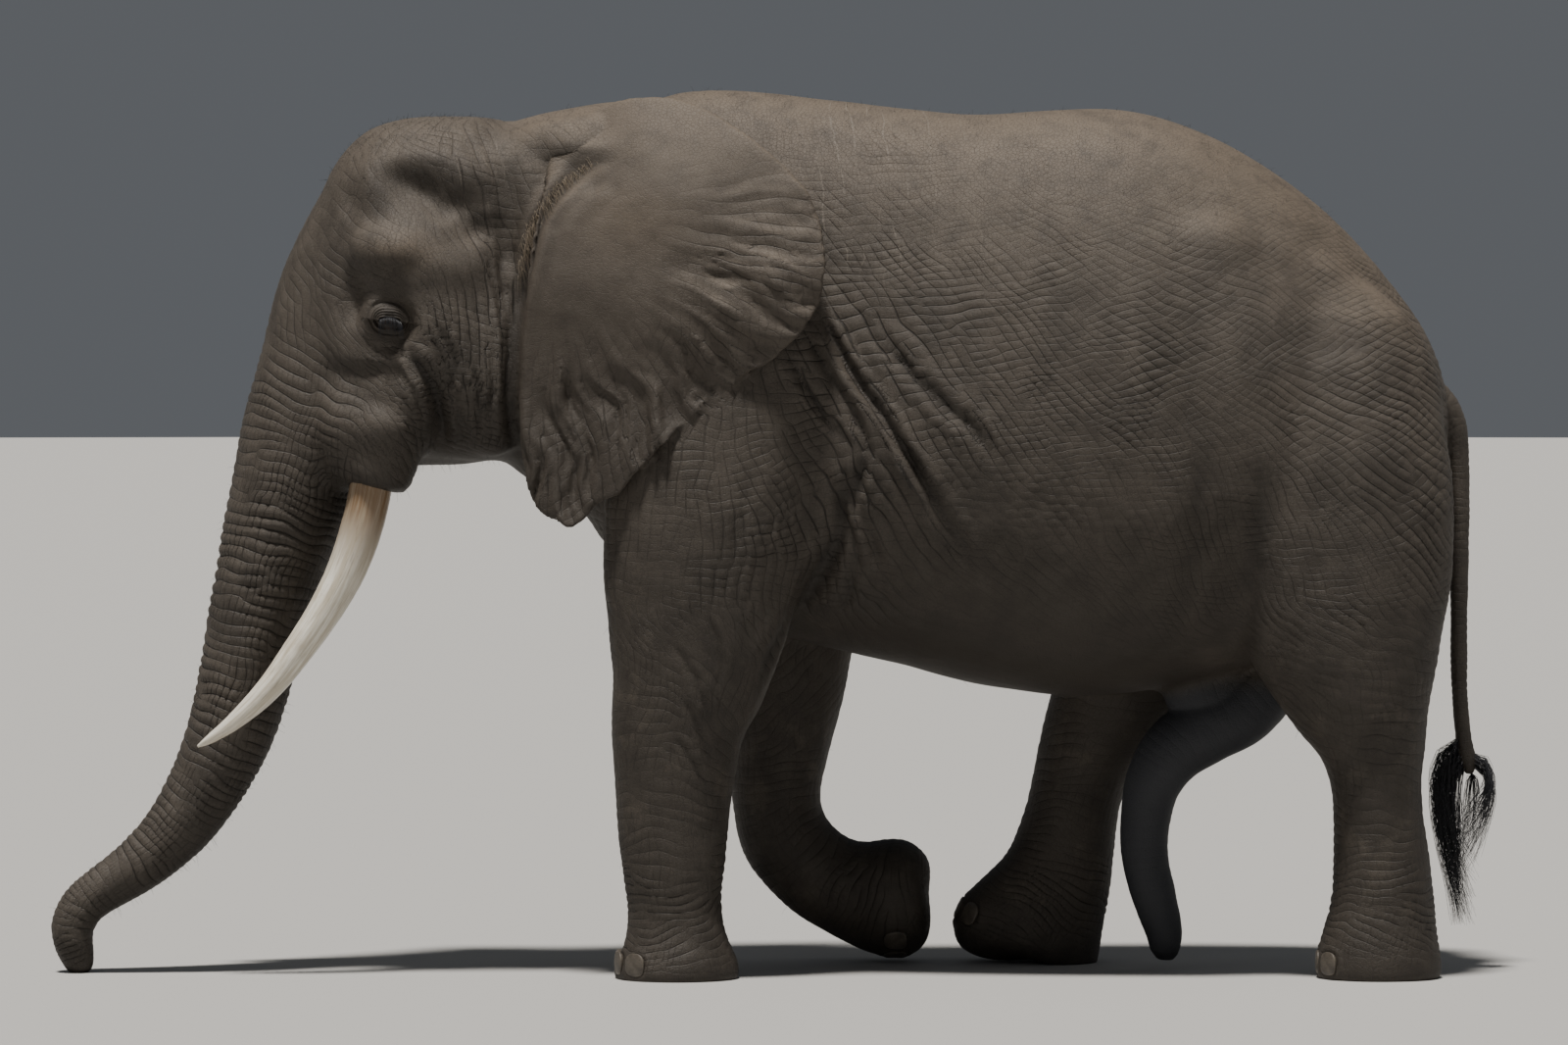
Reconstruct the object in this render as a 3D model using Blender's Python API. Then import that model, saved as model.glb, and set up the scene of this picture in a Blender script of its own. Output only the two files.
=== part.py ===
"""A bull African savanna elephant at life size, walking with its trunk on the ground.

It faces -X with its left side towards -Y. The feet stand on z = 0, metres.
The flesh is lofted from rings, fused into one body, and parted with thin cuts.
Eyes, tusks, toenails, jaw, tail and ears are solids of their own, set in it.
"""
import math

import bmesh
import bpy
import numpy as np
from mathutils import Matrix, Vector

# ------------------------------------------------------------------ driving sizes
GAP = 0.0005                 # air left by every cut and round every set piece
FUSE_VOXEL = 0.030           # grid that fuses the lofts into one body
FUSE_SMOOTH = 14             # passes that round the joins between lofts
FLESH_TRIANGLES = 2820       # facets of the whole fused body
RING_SIDES = 28
HEAD_YAW = math.radians(4.0)          # the head turns a little to its left
HEAD_PIVOT = Vector((-0.90, 0.0, 0.0))

SPINE_RIDGE = 0.22           # how much the barrel narrows towards the back
# Barrel of the body: x, height of the back, height of the belly, half width.
BARREL = (
    (-0.74, 2.72, 1.80, 0.19),
    (-0.62, 3.02, 1.56, 0.34),
    (-0.40, 3.19, 1.38, 0.45),
    (-0.15, 3.215, 1.27, 0.52),
    (0.15, 3.185, 1.19, 0.575),
    (0.45, 3.15, 1.12, 0.625),
    (0.75, 3.125, 1.045, 0.665),
    (1.05, 3.145, 1.005, 0.69),
    (1.30, 3.14, 1.015, 0.7),
    (1.55, 3.065, 1.06, 0.685),
    (1.80, 2.93, 1.12, 0.635),
    (2.00, 2.78, 1.20, 0.56),
    (2.20, 2.575, 1.30, 0.46),
    (2.35, 2.375, 1.44, 0.345),
    (2.42, 2.24, 1.62, 0.235),
    (2.455, 2.10, 1.80, 0.125),
)
# Neck: x, height of its crest, height of the throat, half width.
NECK = (
    (-1.20, 2.98, 2.10, 0.34),
    (-0.98, 3.09, 1.86, 0.385),
    (-0.78, 3.145, 1.72, 0.405),
    (-0.50, 3.18, 1.58, 0.42),
    (-0.15, 3.18, 1.50, 0.43),
)
# Skull: x of its middle, z, half length fore and aft, half width.
SKULL = (
    (-1.18, 3.115, 0.16, 0.12),
    (-1.20, 3.06, 0.29, 0.24),
    (-1.20, 2.93, 0.41, 0.345),
    (-1.21, 2.76, 0.465, 0.40),
    (-1.24, 2.58, 0.485, 0.425),
    (-1.25, 2.40, 0.50, 0.44),
    (-1.23, 2.22, 0.48, 0.45),
    (-1.19, 2.06, 0.42, 0.42),
    (-1.14, 1.93, 0.31, 0.34),
    (-1.11, 1.87, 0.18, 0.22),
)
# Trunk: x, z, half depth, half width, from the brow down to the finger at the tip.
TRUNK = (
    (-1.42, 2.72, 0.265, 0.270),
    (-1.525, 2.45, 0.290, 0.270),
    (-1.610, 2.20, 0.270, 0.262),
    (-1.698, 1.95, 0.250, 0.250),
    (-1.775, 1.70, 0.222, 0.232),
    (-1.832, 1.50, 0.200, 0.215),
    (-1.885, 1.30, 0.182, 0.200),
    (-1.930, 1.08, 0.172, 0.190),
    (-1.982, 0.89, 0.162, 0.178),
    (-2.040, 0.75, 0.149, 0.165),
    (-2.105, 0.63, 0.137, 0.152),
    (-2.180, 0.525, 0.124, 0.140),
    (-2.265, 0.435, 0.111, 0.126),
    (-2.360, 0.360, 0.099, 0.112),
    (-2.455, 0.300, 0.090, 0.101),
    (-2.532, 0.240, 0.083, 0.093),
    (-2.566, 0.165, 0.080, 0.087),
    (-2.556, 0.090, 0.074, 0.080),
    (-2.535, 0.030, 0.064, 0.070),
    (-2.520, -0.015, 0.050, 0.056),
)
# Socket of skin round each tusk: x, distance from the middle, z, radius.
SHEATH = (
    (-1.29, 0.17, 2.32, 0.175),
    (-1.375, 0.215, 2.10, 0.160),
    (-1.42, 0.250, 1.95, 0.148),
    (-1.447, 0.265, 1.84, 0.134),
    (-1.462, 0.270, 1.765, 0.118),
)
# Tusk: x, distance from the middle, z, radius, from inside the socket to the point.
TUSK = (
    (-1.462, 0.270, 1.90, 0.074),
    (-1.486, 0.272, 1.735, 0.0765),
    (-1.519, 0.276, 1.604, 0.0755),
    (-1.562, 0.281, 1.486, 0.071),
    (-1.608, 0.285, 1.393, 0.066),
    (-1.668, 0.287, 1.292, 0.060),
    (-1.739, 0.286, 1.190, 0.055),
    (-1.814, 0.281, 1.088, 0.049),
    (-1.893, 0.273, 1.000, 0.041),
    (-1.985, 0.262, 0.918, 0.029),
    (-2.060, 0.252, 0.864, 0.017),
    (-2.105, 0.246, 0.836, 0.004),
)
# Lower jaw: x, z, half depth, half width, ending in the pointed lip.
JAW = (
    (-1.00, 2.06, 0.170, 0.250),
    (-1.12, 1.995, 0.150, 0.235),
    (-1.23, 1.955, 0.115, 0.195),
    (-1.33, 1.925, 0.085, 0.150),
    (-1.42, 1.890, 0.058, 0.100),
    (-1.49, 1.860, 0.034, 0.050),
)
# Lumps of bone and muscle: centre x, distance from the middle, z, and three radii.
LUMPS = {
    "cheekbone": (-1.22, 0.345, 2.24, 0.27, 0.125, 0.27),
    "brow": (-1.40, 0.320, 2.62, 0.17, 0.115, 0.12),
    "jaw_muscle": (-1.02, 0.300, 2.22, 0.18, 0.150, 0.34),
    "shoulder_blade": (-0.10, 0.355, 2.42, 0.30, 0.170, 0.52),
    "hip_bone": (1.50, 0.330, 2.56, 0.30, 0.190, 0.24),
    "haunch": (1.97, 0.270, 2.00, 0.46, 0.262, 0.56),
}
HEEL_PAD = (0.515, 0.350, 0.335, 0.070, 0.150, 0.090)     # of the lifted forefoot
TOE_PAD = (0.860, 0.335, 0.100, 0.202, 0.176, 0.100)      # of the right hind foot
# Hollows pressed into the head: centre x, distance from the middle, z, reach, depth.
HOLLOWS = {
    "temple": (-1.30, 0.34, 2.83, 0.13, 0.045),
    "eye": (-1.42, 0.43, 2.375, 0.085, 0.030),
}

# Legs: x, distance from the middle, z, half depth, half width, shoulder or hip first.
FORELEG_PLANTED = (
    (-0.12, 0.355, 2.45, 0.36, 0.180),
    (-0.14, 0.385, 2.15, 0.43, 0.210),
    (-0.19, 0.395, 1.80, 0.435, 0.222),
    (-0.255, 0.395, 1.50, 0.370, 0.218),
    (-0.275, 0.390, 1.30, 0.335, 0.210),
    (-0.305, 0.385, 1.10, 0.292, 0.200),
    (-0.345, 0.375, 0.93, 0.248, 0.190),
    (-0.362, 0.365, 0.72, 0.220, 0.182),
    (-0.366, 0.360, 0.52, 0.202, 0.178),
    (-0.363, 0.355, 0.36, 0.184, 0.175),
    (-0.358, 0.350, 0.23, 0.172, 0.172),
    (-0.354, 0.350, 0.13, 0.190, 0.186),
    (-0.351, 0.350, 0.055, 0.226, 0.210),
    (-0.350, 0.350, -0.02, 0.236, 0.216),
)
FORELEG_TOE_OFF = (
    (-0.06, 0.355, 2.45, 0.36, 0.180),
    (-0.04, 0.385, 2.15, 0.43, 0.210),
    (-0.03, 0.395, 1.80, 0.420, 0.222),
    (-0.01, 0.395, 1.50, 0.360, 0.218),
    (0.015, 0.390, 1.25, 0.300, 0.210),
    (0.030, 0.385, 1.02, 0.238, 0.200),
    (0.020, 0.375, 0.80, 0.190, 0.185),
    (0.005, 0.365, 0.62, 0.166, 0.176),
    (0.040, 0.360, 0.46, 0.168, 0.176),
    (0.150, 0.355, 0.335, 0.172, 0.172),
    (0.262, 0.350, 0.272, 0.182, 0.178),
    (0.370, 0.350, 0.244, 0.212, 0.203),
    (0.450, 0.350, 0.238, 0.226, 0.212),
    (0.510, 0.350, 0.238, 0.214, 0.200),
    (0.550, 0.350, 0.240, 0.176, 0.162),
    (0.570, 0.350, 0.242, 0.098, 0.090),
)
HINDLEG_PLANTED = (
    (1.93, 0.310, 2.20, 0.40, 0.220),
    (1.99, 0.345, 1.85, 0.455, 0.245),
    (2.03, 0.360, 1.50, 0.430, 0.245),
    (2.065, 0.365, 1.25, 0.370, 0.240),
    (2.115, 0.360, 1.03, 0.285, 0.225),
    (2.160, 0.355, 0.86, 0.205, 0.195),
    (2.178, 0.350, 0.70, 0.166, 0.172),
    (2.186, 0.345, 0.55, 0.168, 0.168),
    (2.198, 0.340, 0.40, 0.180, 0.172),
    (2.203, 0.335, 0.25, 0.192, 0.180),
    (2.192, 0.335, 0.13, 0.216, 0.194),
    (2.190, 0.335, 0.05, 0.232, 0.204),
    (2.190, 0.335, -0.02, 0.230, 0.202),
)
HINDLEG_HEEL_DOWN = (
    (1.88, 0.310, 2.20, 0.40, 0.220),
    (1.78, 0.345, 1.85, 0.44, 0.245),
    (1.62, 0.360, 1.50, 0.400, 0.245),
    (1.46, 0.365, 1.27, 0.340, 0.240),
    (1.31, 0.360, 1.05, 0.270, 0.222),
    (1.185, 0.355, 0.83, 0.205, 0.196),
    (1.120, 0.350, 0.64, 0.172, 0.177),
    (1.082, 0.345, 0.46, 0.186, 0.176),
    (1.042, 0.340, 0.31, 0.212, 0.182),
    (0.985, 0.335, 0.19, 0.254, 0.196),
    (0.940, 0.335, 0.10, 0.284, 0.206),
    (0.914, 0.335, 0.035, 0.282, 0.204),
)
# Tail: x, z, radius.
TAIL = (
    (2.34, 2.14, 0.060),
    (2.42, 2.09, 0.056),
    (2.480, 2.00, 0.046),
    (2.502, 1.85, 0.040),
    (2.503, 1.60, 0.036),
    (2.503, 1.30, 0.033),
    (2.506, 1.05, 0.030),
    (2.518, 0.87, 0.029),
    (2.538, 0.76, 0.032),
    (2.546, 0.715, 0.016),
)
# Hair at the tail's end: x, z, half depth, half width.
TAIL_TUFT = (
    (2.532, 0.860, 0.042, 0.038),
    (2.530, 0.760, 0.090, 0.044),
    (2.522, 0.640, 0.1155, 0.040),
    (2.520, 0.520, 0.112, 0.036),
    (2.522, 0.400, 0.082, 0.030),
    (2.526, 0.280, 0.052, 0.024),
    (2.524, 0.190, 0.024, 0.016),
    (2.520, 0.150, 0.010, 0.010),
)
# Penis, let down as a bull's often is: x, z, radius.
PENIS = (
    (1.86, 1.12, 0.120),
    (1.72, 0.965, 0.134),
    (1.585, 0.885, 0.130),
    (1.465, 0.805, 0.120),
    (1.388, 0.690, 0.104),
    (1.358, 0.550, 0.092),
    (1.357, 0.410, 0.085),
    (1.388, 0.275, 0.080),
    (1.424, 0.150, 0.070),
    (1.430, 0.075, 0.056),
    (1.428, 0.035, 0.030),
)

# Ear: outline as x and z, from the top of its root down the front and round the back.
EAR_OUTLINE = (
    (-0.80, 2.93), (-0.865, 2.68), (-0.895, 2.40), (-0.915, 2.12), (-0.905, 1.88),
    (-0.855, 1.71), (-0.735, 1.645), (-0.57, 1.755), (-0.42, 1.91), (-0.26, 2.07),
    (-0.07, 2.20), (0.11, 2.35), (0.185, 2.57), (0.13, 2.82), (-0.04, 3.00),
    (-0.25, 3.14), (-0.44, 3.185), (-0.66, 3.13),
)
EAR_HUB = (-0.46, 2.48)       # x and z that the ear's ribs run out from
EAR_ROOT_OUT = 0.440          # distance of the root from the middle
EAR_BACK_OUT = 0.635          # distance of the rear edge
EAR_LEAN_FROM = 2.40          # above this height the ear leans in over the neck
EAR_LEAN_REACH = 0.91
EAR_FRONT_X = -0.92
EAR_REAR_X = 0.10
EAR_THICK_ROOT = 0.034
EAR_THICK_EDGE = 0.020
EAR_SPAN_STEPS = 2            # points to each span of the outline
EAR_RINGS = 4
EAR_FOLDS = 9                 # radial folds in the hanging part
EAR_FOLD_DEPTH = 0.016

EYE_CENTRE = (-1.412, 0.394, 2.375)
EYE_RADIUS = 0.034

# Feet for the nails: sole centre, direction of the toes, direction up the leg,
# half depth and half width where the nails sit, and how many there are.
NAIL_HEIGHT = 0.058
NAIL_SIZE = (0.022, 0.047, 0.043)      # half thickness, half width, half height
NAIL_SPREAD = math.radians(31)
FEET = {
    "fore_left": ((-0.350, -0.350, 0.0), (-1, 0, 0), (0, 0, 1), 0.222, 0.208, 4),
    "fore_right": ((0.505, 0.350, 0.238), (0, 0, -1), (-1, 0, 0), 0.218, 0.208, 4),
    "hind_left": ((2.190, -0.335, 0.0), (-1, 0, 0), (0, 0, 1), 0.224, 0.200, 3),
    "hind_right": ((0.914, 0.335, 0.035), (-0.91, 0, 0.41), (0.41, 0, 0.91), 0.280, 0.204, 3),
}

# Each leg's rows, its side, and the height below which it is parted from the body.
LEGS = {
    "foreleg_left": (FORELEG_PLANTED, -1.0, 1.60),
    "foreleg_right": (FORELEG_TOE_OFF, 1.0, 1.60),
    "hindleg_left": (HINDLEG_PLANTED, -1.0, 1.60),
    "hindleg_right": (HINDLEG_HEEL_DOWN, 1.0, 1.60),
}
LEG_CUT_FATTER = 1.14         # the cut runs this much wider than the leg
NECK_FRONT_CUT = (Vector((-0.97, 0.0, 2.4)), Vector((1.0, 0.0, 0.16)).normalized())
NECK_BACK_CUT = (Vector((-0.56, 0.0, 2.4)), Vector((1.0, 0.0, 0.0)))
TRUNK_CUT = (Vector((-1.80, 0.0, 1.655)), Vector((-0.24, 0.0, -0.97)).normalized())

COLOURS = {
    "skin": (0.105, 0.088, 0.072, 0.85),
    "skin_dark": (0.070, 0.060, 0.052, 0.88),
    "ear": (0.095, 0.078, 0.063, 0.85),
    "ivory": (0.640, 0.520, 0.370, 0.42),
    "eye": (0.030, 0.016, 0.008, 0.12),
    "nail": (0.150, 0.128, 0.104, 0.60),
    "hair": (0.014, 0.015, 0.018, 0.60),
    "penis": (0.125, 0.122, 0.128, 0.55),
}


# ------------------------------------------------------------------ shape helpers
def through(rows, steps):
    """Rows on a smooth curve through the given rows, with `steps` to each span."""
    rows = np.array(rows, dtype=float)
    ends = np.vstack((2 * rows[0] - rows[1], rows, 2 * rows[-1] - rows[-2]))
    curve = []
    for first in range(len(rows) - 1):
        a, b, c, d = ends[first:first + 4]
        for t in np.arange(steps) / steps:
            bend = (2 * a - 5 * b + 4 * c - d) * t ** 2 + (3 * b - a - 3 * c + d) * t ** 3
            curve.append(0.5 * (2 * b + (c - a) * t + bend))
    curve.append(rows[-1])
    return np.array(curve)


def loft(bm, rows, side=1.0, steps=3, sides=RING_SIDES, ahead=None, square=2.0, ridge=0.0):
    """Add a closed tube of rows x, y, z, half depth, half width to `bm`.

    Rings stand square to the path, or to `ahead` where it is given. `side` of -1
    puts the tube on the left. `square` above 2 fills out the ring's corners, and
    `ridge` narrows its upper part.
    """
    rows = through(rows, steps)
    middle = rows[:, :3] * (1.0, side, 1.0)
    along = np.gradient(middle, axis=0) if ahead is None else np.tile(ahead, (len(rows), 1))
    along /= np.linalg.norm(along, axis=1)[:, None]
    across = np.array((0.0, 1.0, 0.0)) - along[:, 1:2] * along
    across /= np.linalg.norm(across, axis=1)[:, None]
    outward = np.cross(across, along)
    turn = np.arange(sides) * 2 * math.pi / sides
    cos = np.sign(np.cos(turn)) * np.abs(np.cos(turn)) ** (2 / square)
    sin = np.sign(np.sin(turn)) * np.abs(np.sin(turn)) ** (2 / square)
    sin *= 1.0 - ridge * ((1.0 - cos) / 2) ** 1.5
    previous = None
    for centre, out, over, row in zip(middle, outward, across, rows):
        depth = out[None, :] * cos[:, None] * row[3]
        width = over[None, :] * sin[:, None] * row[4]
        ring = [bm.verts.new(point) for point in centre + depth + width]
        if previous is None:
            bm.faces.new(ring)
        else:
            for k in range(sides):
                after = (k + 1) % sides
                bm.faces.new((previous[k], previous[after], ring[after], ring[k]))
        previous = ring
    bm.faces.new(previous[::-1])


def upright(rows):
    """Rows x, top, bottom, half width as rows x, y, z, half depth, half width."""
    return [(x, 0.0, (top + low) / 2, (top - low) / 2, wide) for x, top, low, wide in rows]


def in_middle(rows):
    """Rows x, z, ... as rows x, 0, z, ... on the middle plane."""
    return [(row[0], 0.0, *row[1:]) for row in rows]


def round_rows(rows):
    """Rows ending in one radius as rows ending in equal half depth and half width."""
    return [(*row, row[-1]) for row in rows]


def turned(bm, first=0):
    """Turn the vertices from number `first` on with the head."""
    bm.verts.ensure_lookup_table()
    turn = Matrix.Rotation(HEAD_YAW, 4, "Z")
    spin = Matrix.Translation(HEAD_PIVOT) @ turn @ Matrix.Translation(-HEAD_PIVOT)
    bmesh.ops.transform(bm, matrix=spin, verts=bm.verts[first:])


def lump(bm, sizes, side):
    """Add an ellipsoid of bone or muscle on one side."""
    x, y, z, *radii = sizes
    place = Matrix.Translation((x, y * side, z)) @ Matrix.Diagonal((*radii, 1.0))
    bmesh.ops.create_icosphere(bm, subdivisions=3, radius=1.0, matrix=place)


def mesh_from(bm, name):
    """Turn a bmesh into a mesh of triangles that face out."""
    bmesh.ops.recalc_face_normals(bm, faces=bm.faces)
    bmesh.ops.triangulate(bm, faces=bm.faces)
    mesh = bpy.data.meshes.new(name)
    bm.to_mesh(mesh)
    bm.free()
    return mesh


def new_object(name, mesh):
    obj = bpy.data.objects.new(name, mesh)
    bpy.context.scene.collection.objects.link(obj)
    return obj


def settled(obj):
    """The object's mesh with its modifiers applied. The object is removed."""
    seen = obj.evaluated_get(bpy.context.evaluated_depsgraph_get())
    mesh = bpy.data.meshes.new_from_object(seen)
    bpy.data.objects.remove(obj)
    return mesh


def cut(mesh, tool, operation="DIFFERENCE"):
    """The mesh with the tool mesh taken away from it, or kept where both are."""
    body = new_object("cut_body", mesh)
    cutter = new_object("cut_tool", tool)
    boolean = body.modifiers.new("cut", "BOOLEAN")
    boolean.object = cutter
    boolean.operation = operation
    boolean.solver = "EXACT"
    result = settled(body)
    bpy.data.objects.remove(cutter)
    return result


def grown(mesh, by=GAP):
    """A copy of the mesh pushed out along its normals."""
    copy = mesh.copy()
    for vertex, normal in zip(copy.vertices, [v.vector.copy() for v in mesh.vertex_normals]):
        vertex.co += normal * by
    return copy


def block(low, high):
    """A box from one corner to the other."""
    bm = bmesh.new()
    size = Vector(high) - Vector(low)
    place = Matrix.Translation((Vector(low) + Vector(high)) / 2) @ Matrix.Diagonal((*size, 1.0))
    bmesh.ops.create_cube(bm, size=1.0, matrix=place)
    return mesh_from(bm, "block")


def parted(mesh, point, normal):
    """The two sides of a mesh cut by a plane, the far side along the normal last."""
    sides = []
    for facing in (1.0, -1.0):
        bm = bmesh.new()
        bm.from_mesh(mesh)
        plane = point - normal * facing * GAP / 2
        everything = bm.verts[:] + bm.edges[:] + bm.faces[:]
        bmesh.ops.bisect_plane(bm, geom=everything, dist=1e-6, plane_co=plane,
                               plane_no=normal * facing, clear_outer=True)
        rim = [edge for edge in bm.edges if edge.is_boundary]
        bmesh.ops.holes_fill(bm, edges=rim, sides=0)
        sides.append(mesh_from(bm, "side"))
    return sides


def largest(mesh):
    """Only the largest closed body of a mesh, with thin slivers dissolved."""
    bm = bmesh.new()
    bm.from_mesh(mesh)
    bmesh.ops.remove_doubles(bm, verts=bm.verts, dist=1e-5)
    bmesh.ops.dissolve_degenerate(bm, edges=bm.edges, dist=1e-5)
    seen = set()
    bodies = []
    for start in bm.verts:
        if start in seen:
            continue
        body = {start}
        edge_of_body = [start]
        while edge_of_body:
            vertex = edge_of_body.pop()
            near = {edge.other_vert(vertex) for edge in vertex.link_edges} - body
            body |= near
            edge_of_body += near
        seen |= body
        bodies.append(body)
    keep = max(bodies, key=len)
    bmesh.ops.delete(bm, geom=[v for v in bm.verts if v not in keep], context="VERTS")
    return mesh_from(bm, "body")


# ------------------------------------------------------------------ flesh
def pressed(mesh):
    """Press the hollows of temple and eye into both sides of the head."""
    turn = Matrix.Rotation(HEAD_YAW, 4, "Z")
    points = np.empty(len(mesh.vertices) * 3)
    mesh.vertices.foreach_get("co", points)
    points = points.reshape(-1, 3)
    for x, y, z, reach, depth in HOLLOWS.values():
        for side in (-1.0, 1.0):
            centre = turn @ (Vector((x, y * side, z)) - HEAD_PIVOT) + HEAD_PIVOT
            far = np.linalg.norm(points - np.array(centre), axis=1) / reach
            inward = np.array(turn @ Vector((0.0, -side, 0.0)))
            points += inward * (depth * np.exp(-far ** 2))[:, None]
    mesh.vertices.foreach_set("co", points.ravel())
    return mesh


def flesh():
    """The whole body but for jaw, ears and tail, fused and smoothed."""
    bm = bmesh.new()
    level = (1.0, 0.0, 0.0)
    loft(bm, upright(BARREL), ahead=level, square=2.15, ridge=SPINE_RIDGE)
    loft(bm, upright(NECK), ahead=level, square=2.1)
    loft(bm, FORELEG_PLANTED, side=-1.0)
    loft(bm, FORELEG_TOE_OFF)
    loft(bm, HINDLEG_PLANTED, side=-1.0)
    loft(bm, HINDLEG_HEEL_DOWN)
    head_starts = len(bm.verts)
    loft(bm, in_middle(SKULL), ahead=(0.0, 0.0, 1.0), square=2.2)
    loft(bm, in_middle(TRUNK))
    for side in (-1.0, 1.0):
        loft(bm, round_rows(SHEATH), side=side)
        for name in ("cheekbone", "brow", "jaw_muscle"):
            lump(bm, LUMPS[name], side)
    turned(bm, head_starts)
    for side in (-1.0, 1.0):
        for name in ("shoulder_blade", "hip_bone", "haunch"):
            lump(bm, LUMPS[name], side)
    lump(bm, HEEL_PAD, 1.0)
    lump(bm, TOE_PAD, 1.0)
    fused = new_object("fused", mesh_from(bm, "fused"))
    remesh = fused.modifiers.new("fuse", "REMESH")
    remesh.mode = "VOXEL"
    remesh.voxel_size = FUSE_VOXEL
    smooth = fused.modifiers.new("round_joins", "SMOOTH")
    smooth.factor = 0.5
    smooth.iterations = FUSE_SMOOTH
    mesh = pressed(settled(fused))
    mesh.calc_loop_triangles()
    coarse = new_object("coarse", mesh)
    decimate = coarse.modifiers.new("fewer_facets", "DECIMATE")
    decimate.ratio = FLESH_TRIANGLES / len(mesh.loop_triangles)
    decimate.use_collapse_triangulate = True
    return settled(coarse)


def on_floor(mesh):
    """Cut flat whatever reaches below the floor."""
    low = min(vertex.co.z for vertex in mesh.vertices)
    if low > 0.0:
        return mesh
    return cut(mesh, block((-4.0, -2.0, -1.0), (4.0, 2.0, 0.0)))


# ------------------------------------------------------------------ set pieces
def piece(rows, **how):
    """One lofted piece as a mesh, turned with the head when `head` is set."""
    head = how.pop("head", False)
    bm = bmesh.new()
    loft(bm, rows, **how)
    if head:
        turned(bm)
    return mesh_from(bm, "piece")


def eye(side):
    bm = bmesh.new()
    place = Matrix.Translation((EYE_CENTRE[0], EYE_CENTRE[1] * side, EYE_CENTRE[2]))
    bmesh.ops.create_icosphere(bm, subdivisions=1, radius=EYE_RADIUS, matrix=place)
    turned(bm)
    return mesh_from(bm, "eye")


def ear(side):
    """A sheet that fans out from its root, folded where it hangs."""
    outline = through((*EAR_OUTLINE, EAR_OUTLINE[0]), EAR_SPAN_STEPS)[:-1]
    hub = np.array(EAR_HUB)
    bm = bmesh.new()
    faces_of = []
    for skin in (1.0, -1.0):
        rings = []
        for ring in range(1, EAR_RINGS + 1):
            reach = ring / EAR_RINGS
            points = []
            for number, corner in enumerate(outline):
                x, z = hub + (corner - hub) * reach
                points.append(bm.verts.new(ear_point(x, z, reach, number / len(outline), skin, side)))
            rings.append(points)
        centre = bm.verts.new(ear_point(*hub, 0.0, 0.0, skin, side))
        count = len(outline)
        for k in range(count):
            after = (k + 1) % count
            bm.faces.new((centre, rings[0][k], rings[0][after]))
            for inner, outer in zip(rings, rings[1:]):
                bm.faces.new((inner[k], outer[k], outer[after], inner[after]))
        faces_of.append(rings[-1])
    for k in range(len(outline)):
        after = (k + 1) % len(outline)
        bm.faces.new((faces_of[0][k], faces_of[0][after], faces_of[1][after], faces_of[1][k]))
    return mesh_from(bm, "ear")


def ear_point(x, z, reach, round_rim, skin, side):
    """A point of the ear's outer (skin 1) or inner (skin -1) face."""
    back = np.clip((x - EAR_FRONT_X) / (EAR_REAR_X - EAR_FRONT_X), 0.0, 1.0)
    out = EAR_ROOT_OUT + (EAR_BACK_OUT - EAR_ROOT_OUT) * math.sin(back * math.pi / 2)
    above = max(0.0, z - EAR_LEAN_FROM) / EAR_LEAN_REACH
    out *= math.sqrt(max(0.0, 1.0 - above ** 2))
    hanging = math.exp(-((round_rim - 0.50) / 0.17) ** 2)
    folds = math.sin(2 * math.pi * EAR_FOLDS * round_rim * 2)
    out += EAR_FOLD_DEPTH * hanging * folds * reach ** 2
    thick = EAR_THICK_ROOT + (EAR_THICK_EDGE - EAR_THICK_ROOT) * reach
    return x, side * (out + skin * thick / 2), z


def nail(foot, number):
    """A domed nail, set in the rim of a foot."""
    sole, toes, up, deep, wide, count = FEET[foot]
    toes = Vector(toes).normalized()
    up = Vector(up).normalized()
    across = up.cross(toes)
    angle = (number - (count - 1) / 2) * NAIL_SPREAD
    out = toes * math.cos(angle) + across * math.sin(angle)
    rim = toes * math.cos(angle) * deep + across * math.sin(angle) * wide
    centre = Vector(sole) + rim + up * NAIL_HEIGHT
    turn = Matrix((out, up.cross(out), up)).transposed().to_4x4()
    place = Matrix.Translation(centre) @ turn @ Matrix.Diagonal((*NAIL_SIZE, 1.0))
    bm = bmesh.new()
    bmesh.ops.create_icosphere(bm, subdivisions=1, radius=1.0, matrix=place)
    return mesh_from(bm, "nail")


def leg_cutter(rows, side, top):
    """A fat copy of the part of a leg below `top`, which parts it from the body."""
    low_rows = [row for row in rows if row[2] < top]
    fat = [(*row[:3], row[3] * LEG_CUT_FATTER, row[4] * LEG_CUT_FATTER) for row in low_rows]
    x, y, z, deep, wide = fat[-1]
    ahead = np.array(fat[-1][:3]) - np.array(fat[-2][:3])
    beyond = np.array((x, y, z)) + ahead
    return piece([*fat, (*beyond, deep, wide)], side=side, sides=12, steps=1)


# ------------------------------------------------------------------ finish
def material(name):
    red, green, blue, roughness = COLOURS[name]
    finish = bpy.data.materials.get(name) or bpy.data.materials.new(name)
    finish.use_nodes = True
    shader = finish.node_tree.nodes["Principled BSDF"]
    shader.inputs["Base Color"].default_value = (red, green, blue, 1.0)
    shader.inputs["Roughness"].default_value = roughness
    shader.inputs["Metallic"].default_value = 0.0
    return finish


def keep(name, mesh, colour):
    """Make a node of the finished elephant."""
    mesh = largest(on_floor(mesh))
    mesh.name = name
    mesh.materials.clear()
    mesh.materials.append(material(colour))
    mesh.shade_smooth()
    new_object(name, mesh)


for old in list(bpy.data.objects):
    bpy.data.objects.remove(old)

body = flesh()
sides = {"left": -1.0, "right": 1.0}

legs = {}
for name, (rows, side, top) in LEGS.items():
    around = leg_cutter(rows, side, top)
    legs[name] = largest(cut(body, around, "INTERSECT"))
    body = cut(body, grown(around))

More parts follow.
